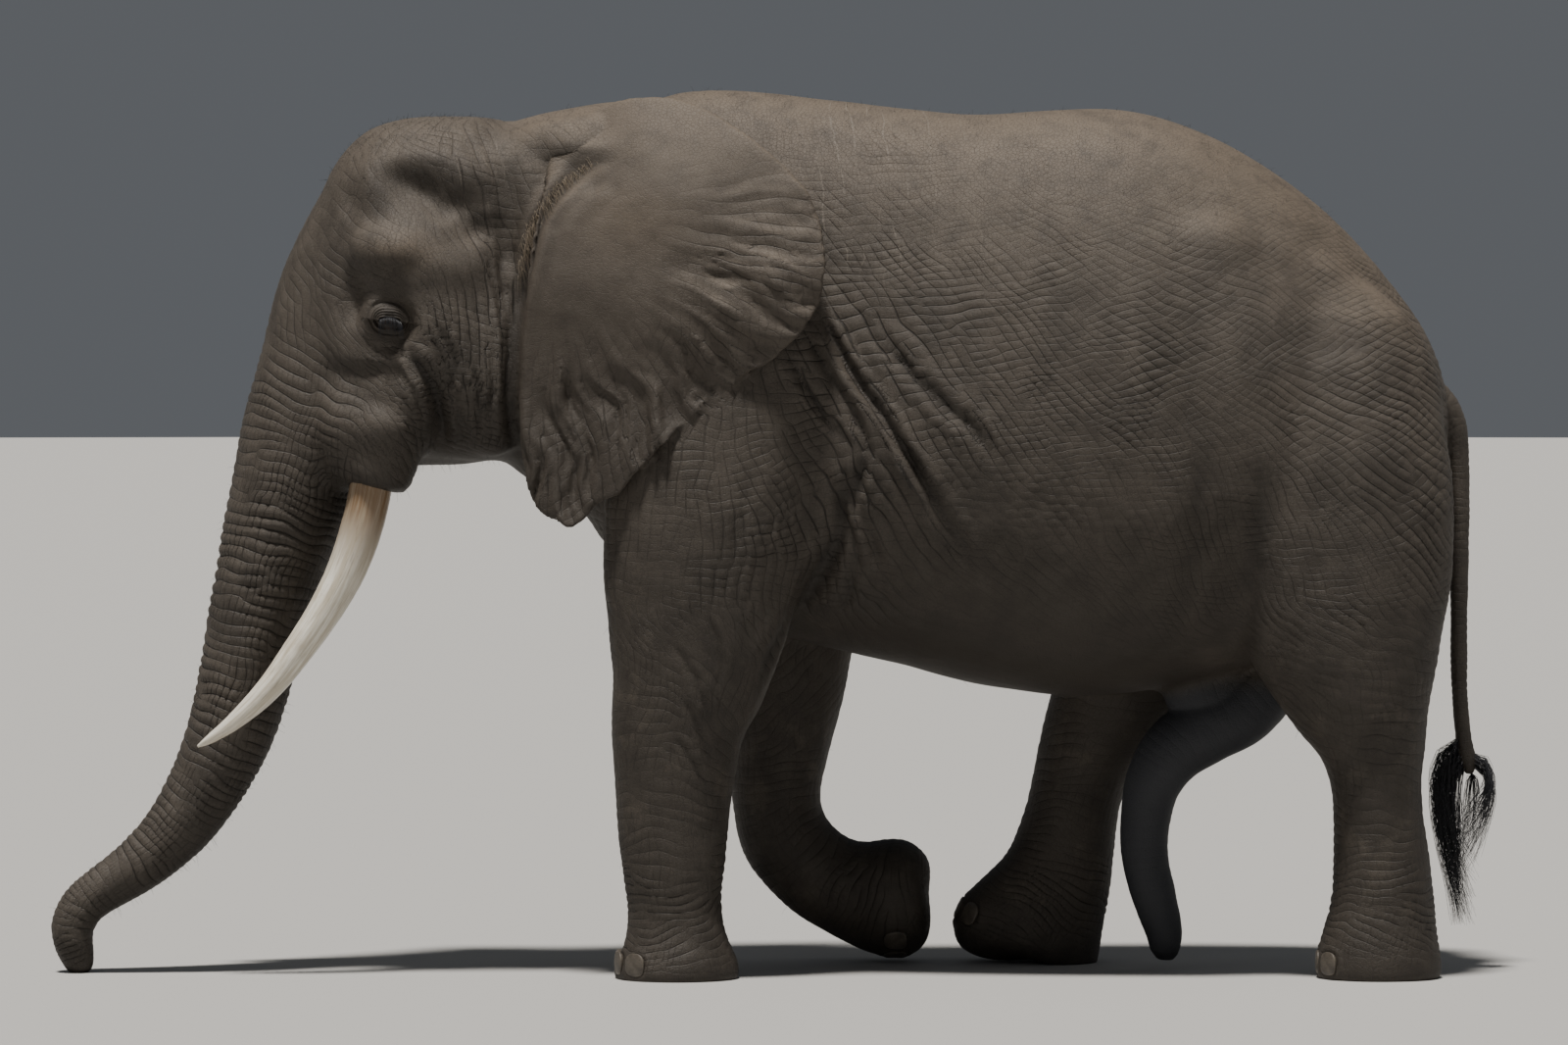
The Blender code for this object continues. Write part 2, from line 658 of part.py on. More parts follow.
head, rest = parted(body, *NECK_FRONT_CUT)
neck, torso = parted(rest, *NECK_BACK_CUT)
head, trunk = parted(largest(head), *TRUNK_CUT)
neck = largest(neck)

jaw = piece(in_middle(JAW), head=True, sides=14, steps=2)
head = cut(head, grown(jaw))
neck = cut(neck, grown(jaw))
keep("lower_jaw", jaw, "skin")

for hand, side in sides.items():
    eyeball = eye(side)
    tusk = piece(round_rows(TUSK), side=side, head=True, sides=10, steps=2)
    head = cut(cut(head, grown(eyeball)), grown(tusk))
    keep(f"eye_{hand}", eyeball, "eye")
    keep(f"tusk_{hand}", tusk, "ivory")

for hand, side in sides.items():
    flap = ear(side)
    for flesh_piece in (head, neck, torso):
        flap = cut(flap, grown(flesh_piece))
    keep(f"ear_{hand}", flap, "ear")

tail = piece(in_middle(round_rows(TAIL)), sides=8, steps=2)
torso = cut(torso, grown(tail))
tuft = cut(piece(in_middle(TAIL_TUFT), sides=12, steps=1), grown(tail))
penis = piece(in_middle(round_rows(PENIS)), sides=10, steps=2)
torso = cut(torso, grown(penis))
for name in ("hindleg_left", "hindleg_right"):
    legs[name] = cut(legs[name], grown(penis))

for foot, (*_, count) in FEET.items():
    leg = foot.replace("fore", "foreleg").replace("hind", "hindleg")
    for number in range(count):
        toenail = nail(foot, number)
        legs[leg] = cut(legs[leg], grown(toenail))
        keep(f"nail_{foot}_{number + 1}", toenail, "nail")

keep("head", head, "skin")
keep("trunk", trunk, "skin")
keep("neck", neck, "skin")
keep("torso", torso, "skin")
for name, leg in legs.items():
    keep(name, leg, "skin_dark")
keep("tail", tail, "skin_dark")
keep("tail_tuft", tuft, "hair")
keep("penis", penis, "penis")
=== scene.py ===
import math

import bmesh
import bpy
import numpy as np
from mathutils import Matrix, Vector
from mathutils.bvhtree import BVHTree


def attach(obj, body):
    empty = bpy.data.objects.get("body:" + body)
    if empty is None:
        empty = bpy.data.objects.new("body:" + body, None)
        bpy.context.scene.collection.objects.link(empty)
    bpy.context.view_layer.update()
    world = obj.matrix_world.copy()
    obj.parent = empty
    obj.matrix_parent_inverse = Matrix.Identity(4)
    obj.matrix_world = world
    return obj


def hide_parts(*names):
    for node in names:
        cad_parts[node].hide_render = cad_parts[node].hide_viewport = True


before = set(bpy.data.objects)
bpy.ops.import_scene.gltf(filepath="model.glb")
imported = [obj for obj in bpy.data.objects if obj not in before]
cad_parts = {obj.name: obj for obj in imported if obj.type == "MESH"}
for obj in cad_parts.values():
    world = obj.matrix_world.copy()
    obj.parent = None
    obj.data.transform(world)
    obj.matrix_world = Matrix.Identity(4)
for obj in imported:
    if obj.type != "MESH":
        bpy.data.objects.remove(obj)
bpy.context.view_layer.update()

# ------------------------------------------------------------------ the hide: flesh
# The animal under its skin: barrel, neck, four legs, skull, trunk, tusk sockets, jaw,
# tail and penis. Each is lofted from rings at its real place, and all are fused into one.
HEAD_YAW = math.radians(4.0)
HEAD_PIVOT = np.array((-0.90, 0.0, 0.0))
SPINE_RIDGE = 0.22
# x, height of the back, height of the belly, half width
BARREL = (
    (-0.74, 2.72, 1.80, 0.19), (-0.62, 3.02, 1.56, 0.34), (-0.40, 3.19, 1.38, 0.45),
    (-0.15, 3.215, 1.27, 0.52), (0.15, 3.185, 1.19, 0.575), (0.45, 3.15, 1.12, 0.625),
    (0.75, 3.125, 1.045, 0.665), (1.05, 3.145, 1.005, 0.69), (1.30, 3.14, 1.015, 0.70),
    (1.55, 3.065, 1.06, 0.685), (1.80, 2.93, 1.12, 0.635), (2.00, 2.78, 1.20, 0.56),
    (2.20, 2.575, 1.30, 0.46), (2.35, 2.375, 1.44, 0.345), (2.42, 2.24, 1.62, 0.235),
    (2.455, 2.10, 1.80, 0.125),
)
NECK = (
    (-1.20, 2.98, 2.10, 0.34), (-0.98, 3.09, 1.86, 0.385), (-0.78, 3.145, 1.72, 0.405),
    (-0.50, 3.18, 1.58, 0.42), (-0.15, 3.18, 1.50, 0.43),
)
# x, z, half length, half width
SKULL = (
    (-1.18, 3.115, 0.16, 0.12), (-1.20, 3.06, 0.29, 0.24), (-1.20, 2.93, 0.41, 0.345),
    (-1.21, 2.76, 0.465, 0.40), (-1.24, 2.58, 0.485, 0.425), (-1.25, 2.40, 0.50, 0.44),
    (-1.23, 2.22, 0.48, 0.45), (-1.19, 2.06, 0.42, 0.42), (-1.14, 1.93, 0.31, 0.34),
    (-1.11, 1.87, 0.18, 0.22),
)
TRUNK = (
    (-1.42, 2.72, 0.265, 0.270), (-1.525, 2.45, 0.290, 0.270), (-1.610, 2.20, 0.270, 0.262),
    (-1.698, 1.95, 0.250, 0.250), (-1.775, 1.70, 0.222, 0.232), (-1.832, 1.50, 0.200, 0.215),
    (-1.885, 1.30, 0.182, 0.200), (-1.930, 1.08, 0.172, 0.190), (-1.982, 0.89, 0.162, 0.178),
    (-2.040, 0.75, 0.149, 0.165), (-2.105, 0.63, 0.137, 0.152), (-2.180, 0.525, 0.124, 0.140),
    (-2.265, 0.435, 0.111, 0.126), (-2.360, 0.360, 0.099, 0.112), (-2.455, 0.300, 0.090, 0.101),
    (-2.532, 0.240, 0.083, 0.093), (-2.566, 0.165, 0.080, 0.087), (-2.556, 0.090, 0.074, 0.080),
    (-2.535, 0.030, 0.064, 0.070), (-2.520, -0.015, 0.050, 0.056),
)
JAW = (
    (-1.00, 2.06, 0.170, 0.250), (-1.12, 1.995, 0.150, 0.235), (-1.23, 1.955, 0.115, 0.195),
    (-1.33, 1.925, 0.085, 0.150), (-1.42, 1.890, 0.058, 0.100), (-1.49, 1.860, 0.034, 0.050),
)
# x, distance from the middle, z, radius
SHEATH = (
    (-1.29, 0.17, 2.32, 0.175), (-1.375, 0.215, 2.10, 0.160), (-1.42, 0.250, 1.95, 0.148),
    (-1.447, 0.265, 1.84, 0.134), (-1.462, 0.270, 1.765, 0.118),
)
# The neck swells out to carry the upper edge of each ear.
EAR_TOP_ROLL = (
    (-1.00, 0.14, 2.975, 0.080), (-0.87, 0.205, 2.995, 0.105), (-0.74, 0.240, 3.015, 0.110),
    (-0.60, 0.255, 3.040, 0.103), (-0.46, 0.250, 3.072, 0.086), (-0.34, 0.230, 3.088, 0.064),
)
EAR_ROLL = (
    (-1.12, 0.13, 3.00, 0.055), (-1.02, 0.190, 2.965, 0.085), (-0.915, 0.255, 2.90, 0.100),
    (-0.865, 0.305, 2.76, 0.102), (-0.860, 0.345, 2.56, 0.100), (-0.865, 0.355, 2.34, 0.095),
    (-0.870, 0.350, 2.14, 0.090), (-0.865, 0.320, 1.98, 0.070),
)
# x, distance from the middle, z, half depth, half width
FORELEG_PLANTED = (
    (-0.12, 0.355, 2.45, 0.36, 0.180), (-0.14, 0.385, 2.15, 0.43, 0.210),
    (-0.19, 0.395, 1.80, 0.435, 0.222), (-0.255, 0.395, 1.50, 0.370, 0.218),
    (-0.275, 0.390, 1.30, 0.335, 0.210), (-0.305, 0.385, 1.10, 0.292, 0.200),
    (-0.345, 0.375, 0.93, 0.248, 0.190), (-0.362, 0.365, 0.72, 0.220, 0.182),
    (-0.366, 0.360, 0.52, 0.202, 0.178), (-0.363, 0.355, 0.36, 0.184, 0.175),
    (-0.358, 0.350, 0.23, 0.172, 0.172), (-0.354, 0.350, 0.13, 0.190, 0.186),
    (-0.351, 0.350, 0.055, 0.226, 0.210), (-0.350, 0.350, -0.02, 0.236, 0.216),
)
FORELEG_TOE_OFF = (
    (-0.06, 0.355, 2.45, 0.36, 0.180), (-0.04, 0.385, 2.15, 0.43, 0.210),
    (-0.03, 0.395, 1.80, 0.420, 0.222), (-0.01, 0.395, 1.50, 0.360, 0.218),
    (0.015, 0.390, 1.25, 0.300, 0.210), (0.030, 0.385, 1.02, 0.238, 0.200),
    (0.020, 0.375, 0.80, 0.190, 0.185), (0.005, 0.365, 0.62, 0.166, 0.176),
    (0.040, 0.360, 0.46, 0.168, 0.176), (0.150, 0.355, 0.335, 0.172, 0.172),
    (0.262, 0.350, 0.272, 0.182, 0.178), (0.370, 0.350, 0.244, 0.212, 0.203),
    (0.450, 0.350, 0.238, 0.226, 0.212), (0.510, 0.350, 0.238, 0.214, 0.200),
    (0.550, 0.350, 0.240, 0.176, 0.162), (0.570, 0.350, 0.242, 0.098, 0.090),
)
HINDLEG_PLANTED = (
    (1.93, 0.310, 2.20, 0.40, 0.220), (1.99, 0.345, 1.85, 0.455, 0.245),
    (2.03, 0.360, 1.50, 0.430, 0.245), (2.065, 0.365, 1.25, 0.370, 0.240),
    (2.115, 0.360, 1.03, 0.285, 0.225), (2.160, 0.355, 0.86, 0.205, 0.195),
    (2.178, 0.350, 0.70, 0.166, 0.172), (2.186, 0.345, 0.55, 0.168, 0.168),
    (2.198, 0.340, 0.40, 0.180, 0.172), (2.203, 0.335, 0.25, 0.192, 0.180),
    (2.192, 0.335, 0.13, 0.216, 0.194), (2.190, 0.335, 0.05, 0.232, 0.204),
    (2.190, 0.335, -0.02, 0.230, 0.202),
)
HINDLEG_HEEL_DOWN = (
    (1.88, 0.310, 2.20, 0.40, 0.220), (1.78, 0.345, 1.85, 0.44, 0.245),
    (1.62, 0.360, 1.50, 0.400, 0.245), (1.46, 0.365, 1.27, 0.340, 0.240),
    (1.31, 0.360, 1.05, 0.270, 0.222), (1.185, 0.355, 0.83, 0.205, 0.196),
    (1.120, 0.350, 0.64, 0.172, 0.177), (1.082, 0.345, 0.46, 0.186, 0.176),
    (1.042, 0.340, 0.31, 0.212, 0.182), (0.985, 0.335, 0.19, 0.254, 0.196),
    (0.940, 0.335, 0.10, 0.284, 0.206), (0.914, 0.335, 0.035, 0.282, 0.204),
)
# x, z, radius
TAIL = (
    (2.34, 2.14, 0.060), (2.42, 2.09, 0.056), (2.480, 2.00, 0.046), (2.502, 1.85, 0.040),
    (2.503, 1.60, 0.036), (2.503, 1.30, 0.033), (2.506, 1.05, 0.030), (2.518, 0.87, 0.029),
    (2.538, 0.76, 0.032), (2.546, 0.715, 0.016),
)
PENIS = (
    (1.86, 1.12, 0.120), (1.72, 0.965, 0.134), (1.585, 0.885, 0.130), (1.465, 0.805, 0.120),
    (1.388, 0.690, 0.104), (1.358, 0.550, 0.092), (1.357, 0.410, 0.085), (1.388, 0.275, 0.080),
    (1.424, 0.150, 0.070), (1.430, 0.075, 0.056), (1.428, 0.035, 0.030),
)
# x, distance from the middle, z, and three radii
HEAD_LUMPS = {
    "cheekbone": (-1.22, 0.345, 2.24, 0.27, 0.125, 0.27),
    "brow": (-1.40, 0.320, 2.62, 0.17, 0.115, 0.12),
    "jaw_muscle": (-1.02, 0.300, 2.22, 0.18, 0.150, 0.34),
    "lip": (-1.545, 0.225, 1.99, 0.13, 0.145, 0.23),
}
BODY_LUMPS = {
    "shoulder_blade": (-0.10, 0.355, 2.42, 0.30, 0.170, 0.52),
    "hip_bone": (1.50, 0.330, 2.56, 0.30, 0.190, 0.24),
    "haunch": (1.97, 0.270, 2.00, 0.46, 0.262, 0.56),
    "croup": (1.88, 0.220, 2.46, 0.26, 0.190, 0.20),
}
SINGLE_LUMPS = {
    "penis_sheath": (1.63, 0.0, 1.00, 0.21, 0.120, 0.145),
    "right_heel_pad": (0.515, 0.350, 0.335, 0.070, 0.150, 0.090),
    "right_toe_pad": (0.860, 0.335, 0.100, 0.202, 0.176, 0.100),
}
FLESH_VOXEL = 0.016
FLESH_SMOOTH = 46
SKIN_VOXEL = 0.009
SKIN_SMOOTH = 3


def through(rows, steps):
    """Rows on a smooth curve through the given rows, with `steps` to each span."""
    rows = np.array(rows, dtype=float)
    ends = np.vstack((2 * rows[0] - rows[1], rows, 2 * rows[-1] - rows[-2]))
    curve = []
    for first in range(len(rows) - 1):
        a, b, c, d = ends[first:first + 4]
        for t in np.arange(steps) / steps:
            bend = (2 * a - 5 * b + 4 * c - d) * t ** 2 + (3 * b - a - 3 * c + d) * t ** 3
            curve.append(0.5 * (2 * b + (c - a) * t + bend))
    curve.append(rows[-1])
    return np.array(curve)


def ring_frames(middle, ahead=None):
    """Directions across and outward at each point of a path."""
    along = np.gradient(middle, axis=0) if ahead is None else np.tile(ahead, (len(middle), 1))
    along /= np.linalg.norm(along, axis=1)[:, None]
    across = np.array((0.0, 1.0, 0.0)) - along[:, 1:2] * along
    across /= np.linalg.norm(across, axis=1)[:, None]
    return across, np.cross(across, along)


def loft(bm, rows, side=1.0, steps=8, sides=72, ahead=None, square=2.0, ridge=0.0):
    """Add a closed tube of rows x, y, z, half depth, half width."""
    rows = through(rows, steps)
    middle = rows[:, :3] * (1.0, side, 1.0)
    across, outward = ring_frames(middle, ahead)
    turn = np.arange(sides) * 2 * math.pi / sides
    cos = np.sign(np.cos(turn)) * np.abs(np.cos(turn)) ** (2 / square)
    sin = np.sign(np.sin(turn)) * np.abs(np.sin(turn)) ** (2 / square)
    sin *= 1.0 - ridge * ((1.0 - cos) / 2) ** 1.5
    previous = None
    for centre, out, over, row in zip(middle, outward, across, rows):
        depth = out[None, :] * cos[:, None] * row[3]
        width = over[None, :] * sin[:, None] * row[4]
        ring = [bm.verts.new(point) for point in centre + depth + width]
        if previous is None:
            bm.faces.new(ring)
        else:
            for k in range(sides):
                after = (k + 1) % sides
                bm.faces.new((previous[k], previous[after], ring[after], ring[k]))
        previous = ring
    bm.faces.new(previous[::-1])


def upright(rows):
    """Rows x, top, bottom, half width as rows x, y, z, half depth, half width."""
    return [(x, 0.0, (top + low) / 2, (top - low) / 2, wide) for x, top, low, wide in rows]


def in_middle(rows):
    """Rows x, z, ... as rows x, 0, z, ..."""
    return [(row[0], 0.0, *row[1:]) for row in rows]


def round_rows(rows):
    """Rows ending in a radius as rows ending in half depth and half width."""
    return [(*row, row[-1]) for row in rows]


def with_head(points, back=False):
    """Points turned with the head, or back to where the head would look straight on."""
    angle = -HEAD_YAW if back else HEAD_YAW
    turn = np.array(Matrix.Rotation(angle, 3, "Z"))
    return (np.asarray(points) - HEAD_PIVOT) @ turn.T + HEAD_PIVOT


def turn_head(bm, first):
    """Turn the vertices from number `first` on with the head."""
    bm.verts.ensure_lookup_table()
    for vertex in bm.verts[first:]:
        vertex.co = with_head(vertex.co)


def lump(bm, sizes, side):
    x, y, z, *radii = sizes
    place = Matrix.Translation((x, y * side, z)) @ Matrix.Diagonal((*radii, 1.0))
    bmesh.ops.create_icosphere(bm, subdivisions=4, radius=1.0, matrix=place)


def new_object(name, mesh):
    obj = bpy.data.objects.new(name, mesh)
    bpy.context.scene.collection.objects.link(obj)
    return obj


def mesh_of(bm, name):
    bmesh.ops.recalc_face_normals(bm, faces=bm.faces)
    mesh = bpy.data.meshes.new(name)
    bm.to_mesh(mesh)
    bm.free()
    return mesh


def fused(meshes, voxel, passes):
    """The meshes made into one surface of even small faces, and smoothed."""
    bm = bmesh.new()
    for mesh in meshes:
        bm.from_mesh(mesh)
    mesh = bpy.data.meshes.new("fused")
    bm.to_mesh(mesh)
    bm.free()
    obj = new_object("fused", mesh)
    remesh = obj.modifiers.new("fuse", "REMESH")
    remesh.mode = "VOXEL"
    remesh.voxel_size = voxel
    smooth = obj.modifiers.new("smooth", "SMOOTH")
    smooth.factor = 0.5
    smooth.iterations = passes
    seen = obj.evaluated_get(bpy.context.evaluated_depsgraph_get())
    result = bpy.data.meshes.new_from_object(seen)
    bpy.data.objects.remove(obj)
    return result


def flesh():
    bm = bmesh.new()
    level = (1.0, 0.0, 0.0)
    loft(bm, upright(BARREL), ahead=level, square=2.15, ridge=SPINE_RIDGE, sides=120)
    loft(bm, upright(NECK), ahead=level, square=2.1)
    loft(bm, FORELEG_PLANTED, side=-1.0)
    loft(bm, FORELEG_TOE_OFF)
    loft(bm, HINDLEG_PLANTED, side=-1.0)
    loft(bm, HINDLEG_HEEL_DOWN)
    head_starts = len(bm.verts)
    loft(bm, in_middle(SKULL), ahead=(0.0, 0.0, 1.0), square=2.2)
    loft(bm, in_middle(TRUNK))
    loft(bm, in_middle(JAW))
    for side in (-1.0, 1.0):
        loft(bm, round_rows(SHEATH), side=side)
        loft(bm, round_rows(EAR_ROLL), side=side)
        loft(bm, round_rows(EAR_TOP_ROLL), side=side)
        for sizes in HEAD_LUMPS.values():
            lump(bm, sizes, side)
    turn_head(bm, head_starts)
    for side in (-1.0, 1.0):
        for sizes in BODY_LUMPS.values():
            lump(bm, sizes, side)
    for sizes in SINGLE_LUMPS.values():
        lump(bm, sizes, 1.0)
    return mesh_of(bm, "flesh")


body = fused([flesh()], FLESH_VOXEL, FLESH_SMOOTH)

# ------------------------------------------------------------------ the hide: ears, tail, penis
# Thin parts, which the smoothing above would eat away, join the body after it. Each ear
# is a sheet of skin that fans out from its root and hangs in folds at its free edge.
EAR_OUTLINE = (
    (-0.80, 2.93), (-0.865, 2.68), (-0.895, 2.40), (-0.915, 2.12), (-0.905, 1.88),
    (-0.855, 1.71), (-0.735, 1.645), (-0.57, 1.755), (-0.42, 1.91), (-0.26, 2.07),
    (-0.07, 2.20), (0.11, 2.35), (0.185, 2.57), (0.13, 2.82), (-0.04, 3.00),
    (-0.25, 3.14), (-0.44, 3.185), (-0.66, 3.13),
)
EAR_HUB = np.array((-0.46, 2.48))
EAR_ROOT_OUT = 0.440
EAR_BACK_OUT = 0.635
EAR_LEAN_FROM = 2.40
EAR_LEAN_REACH = 0.91
EAR_FRONT_X = -0.92
EAR_REAR_X = 0.10
EAR_THICK_ROOT = 0.034
EAR_THICK_EDGE = 0.019
EAR_FOLD_CENTRE = np.array((-0.84, 2.78))     # x and z that the folds run out from
EAR_WIDE_FOLD = 0.050
EAR_NARROW_FOLD = 0.034
EAR_SWELL = 0.024
EAR_SCALLOP = 0.058          # of the reach from the hub

LEANS = np.random.default_rng(7).normal(size=(4096, 3))
LEANS /= np.linalg.norm(LEANS, axis=1)[:, None]
SPOTS = np.random.default_rng(8).random(size=(4096, 3))


def scatter(cell, salt):
    """A number from 0 to 4095 for each cell of space."""
    mixed = cell[:, 0] * 73856093 ^ cell[:, 1] * 19349663 ^ cell[:, 2] * 83492791
    return (mixed ^ (salt * 2654435)) & 4095


def swell(points, salt=0):
    """Smooth random swell about one unit across, from -1 to 1."""
    cell = np.floor(points).astype(np.int64)
    part = points - cell
    ease = part ** 3 * (part * (part * 6 - 15) + 10)
    total = np.zeros(len(points))
    for corner in np.ndindex(2, 2, 2):
        lean = LEANS[scatter(cell + corner, salt)]
        share = np.where(corner, ease, 1 - ease).prod(axis=1)
        total += share * ((part - corner) * lean).sum(axis=1)
    return total * 1.6


def step_between(value, low, high):
    """0 below low, 1 above high, and smooth between."""
    t = np.clip((value - low) / (high - low), 0.0, 1.0)
    return t * t * (3 - 2 * t)


def bell(value, middle, width):
    return np.exp(-((value - middle) / width) ** 2)


def ear_folds(x, z):
    """How far the ear's sheet stands out at each place because of its folds."""
    from_centre = np.column_stack((x, z)) - EAR_FOLD_CENTRE
    reach = np.hypot(*from_centre.T)
    angle = np.arctan2(-from_centre[:, 1], from_centre[:, 0])
    bent = angle + 0.10 * swell(np.column_stack((x * 4.0, z * 4.0, 0 * x)), 9)
    hanging = step_between(reach, 0.40, 0.92) * step_between(angle, -0.30, 0.25)
    wide = swell(np.column_stack((bent * 9.0, reach * 2.6, 0 * reach)), 3)
    narrow = swell(np.column_stack((bent * 23.0, reach * 5.0, 0 * reach)), 4)
    crisp = 0.45 - 1.7 * np.abs(narrow)
    lively = 0.55 + 0.9 * np.clip(swell(np.column_stack((x * 3.1, z * 3.1, 0 * x)), 10) + 0.3, 0, 1)
    ridges = (EAR_WIDE_FOLD * wide + EAR_NARROW_FOLD * crisp * (0.35 + np.abs(wide))) * lively
    soft = EAR_SWELL * swell(np.column_stack((x * 2.6, z * 2.6, 0 * x)), 5)
    return hanging * ridges + soft


def ear_out(x, z):
    """How far from the middle the ear's sheet lies at each place on the side view."""
    back = np.clip((x - EAR_FRONT_X) / (EAR_REAR_X - EAR_FRONT_X), 0.0, 1.0)
    out = EAR_ROOT_OUT + (EAR_BACK_OUT - EAR_ROOT_OUT) * np.sin(back * math.pi / 2)
    above = np.clip((z - EAR_LEAN_FROM) / EAR_LEAN_REACH, 0.0, 0.99)
    tucked = 0.075 * step_between(-x, 0.46, 0.78) * step_between(z, 2.80, 3.02)
    swung = 0.03 * step_between(-z, -2.10, -1.80)
    return out * np.sqrt(1.0 - above ** 2) + ear_folds(x, z) + swung - tucked


def ear_sheet(side, ribs=12, rings=90):
    outline = through((*EAR_OUTLINE, EAR_OUTLINE[0]), ribs)[:-1]
    count = len(outline)
    turn = np.arange(count) / count
    out_of_hub = outline - EAR_HUB
    scallop = swell(np.column_stack((turn * 34.0, 0 * turn, 0 * turn)), 6)
    scallop += 0.35 * swell(np.column_stack((turn * 95.0, 0 * turn, 0 * turn)), 7)
    hanging = bell(turn, 0.50, 0.18)
    outline = EAR_HUB + out_of_hub * (1.0 + EAR_SCALLOP * hanging * scallop)[:, None]
    bm = bmesh.new()
    rims = []
    for skin in (1.0, -1.0):
        rows = []
        for ring in range(rings + 1):
            reach = max(ring, 0.02) / rings
            x, z = (EAR_HUB + (outline - EAR_HUB) * reach).T
            thick = EAR_THICK_ROOT + (EAR_THICK_EDGE - EAR_THICK_ROOT) * reach
            y = side * (ear_out(x, z) + skin * thick / 2)
            rows.append([bm.verts.new(point) for point in zip(x, y, z)])
        for inner, outer in zip(rows, rows[1:]):
            for k in range(count):
                after = (k + 1) % count
                bm.faces.new((inner[k], outer[k], outer[after], inner[after]))
        bm.faces.new(rows[0])
        rims.append(rows[-1])
    for k in range(count):
        after = (k + 1) % count
        bm.faces.new((rims[0][k], rims[0][after], rims[1][after], rims[1][k]))
    return mesh_of(bm, "ear")


def tube(rows, **how):
    bm = bmesh.new()
    loft(bm, rows, **how)
    return mesh_of(bm, "tube")


parts = [body, ear_sheet(-1.0), ear_sheet(1.0)]
parts.append(tube(in_middle(round_rows(TAIL)), sides=32))
parts.append(tube(in_middle(round_rows(PENIS)), sides=48))
skin_mesh = fused(parts, SKIN_VOXEL, SKIN_SMOOTH)

# ------------------------------------------------------------------ the hide: eyelids' finer mesh
# The eyes sit deep under thick lids, whose small folds need smaller faces than the rest,
# so the faces round each eye are split before anything is shaped there.
EYE_CENTRE = (-1.412, 0.394, 2.375)
EYE_RADIUS = 0.034
LIDS_REACH = 0.115
FINE_LIDS_REACH = 0.085


def mesh_points(mesh):
    flat = np.empty(len(mesh.vertices) * 3, dtype=np.float32)
    mesh.vertices.foreach_get("co", flat)
    return flat.reshape(-1, 3)


def mesh_normals(mesh):
    flat = np.empty(len(mesh.vertices) * 3, dtype=np.float32)
    mesh.vertex_normals.foreach_get("vector", flat)
    return flat.reshape(-1, 3)


def move_points(mesh, places):
    mesh.vertices.foreach_set("co", places.astype(np.float32).ravel())
    mesh.update()


def refine_near(mesh, centres, radius):
    """Split the faces near each centre into four."""
    points = mesh_points(mesh)
    near = np.zeros(len(points), dtype=bool)
    for centre in centres:
        near |= np.linalg.norm(points - np.array(centre), axis=1) < radius
    ends = np.empty(len(mesh.edges) * 2, dtype=np.int32)
    mesh.edges.foreach_get("vertices", ends)
    chosen = np.flatnonzero(near[ends.reshape(-1, 2)].all(axis=1))
    bm = bmesh.new()
    bm.from_mesh(mesh)
    bm.edges.ensure_lookup_table()
    edges = [bm.edges[i] for i in chosen]
    bmesh.ops.subdivide_edges(bm, edges=edges, cuts=1, use_grid_fill=True)
    bm.to_mesh(mesh)
    bm.free()


def eye_place(side):
    return with_head((EYE_CENTRE[0], side * EYE_CENTRE[1], EYE_CENTRE[2]))


eyes = [eye_place(side) for side in (-1, 1)]
refine_near(skin_mesh, eyes, LIDS_REACH)
refine_near(skin_mesh, eyes, FINE_LIDS_REACH)

# ------------------------------------------------------------------ the hide: hollows and bulges
# Thin skin over the skull sinks in at the temples and swells over brow, cheek and tusk
# roots; shoulder, ribs and hip show softly through the thicker hide of the body.
# x, distance from the middle, z, three reaches, height
HEAD_SHAPES = (
    (-1.385, 0.36, 2.900, 0.080, 0.16, 0.050, -0.026),
    (-1.300, 0.36, 2.850, 0.110, 0.16, 0.062, -0.046),
    (-1.195, 0.36, 2.785, 0.110, 0.16, 0.060, -0.044),
    (-1.085, 0.40, 2.705, 0.095, 0.16, 0.058, -0.040),
    (-0.985, 0.40, 2.620, 0.060, 0.16, 0.070, -0.022),
    (-1.270, 0.34, 2.965, 0.170, 0.14, 0.050, 0.016),
    (-1.540, 0.24, 2.790, 0.045, 0.12, 0.060, -0.016),
    (-1.470, 0.30, 2.880, 0.060, 0.14, 0.090, 0.020),
    (-1.120, 0.34, 2.900, 0.110, 0.14, 0.060, 0.016),
    (-1.365, 0.40, 2.630, 0.130, 0.14, 0.078, 0.036),
    (-1.215, 0.40, 2.560, 0.120, 0.14, 0.070, 0.024),
    (-1.400, 0.36, 2.520, 0.090, 0.14, 0.038, 0.016),
    (-1.555, 0.34, 2.445, 0.052, 0.14, 0.110, -0.050),
    (-1.420, 0.40, 2.285, 0.100, 0.14, 0.050, -0.038),
    (-1.400, 0.40, 2.375, 0.085, 0.14, 0.070, -0.016),
    (-1.215, 0.42, 2.420, 0.110, 0.14, 0.110, 0.022),
    (-1.425, 0.36, 2.000, 0.125, 0.16, 0.090, 0.048),
    (-1.430, 0.36, 2.190, 0.110, 0.16, 0.045, -0.030),
    (-1.235, 0.36, 2.080, 0.054, 0.16, 0.160, -0.064),
    (-1.215, 0.36, 1.930, 0.080, 0.16, 0.090, -0.034),
    (-1.060, 0.36, 2.140, 0.060, 0.16, 0.200, 0.028),
    (-0.965, 0.36, 2.330, 0.045, 0.16, 0.360, -0.028),
)
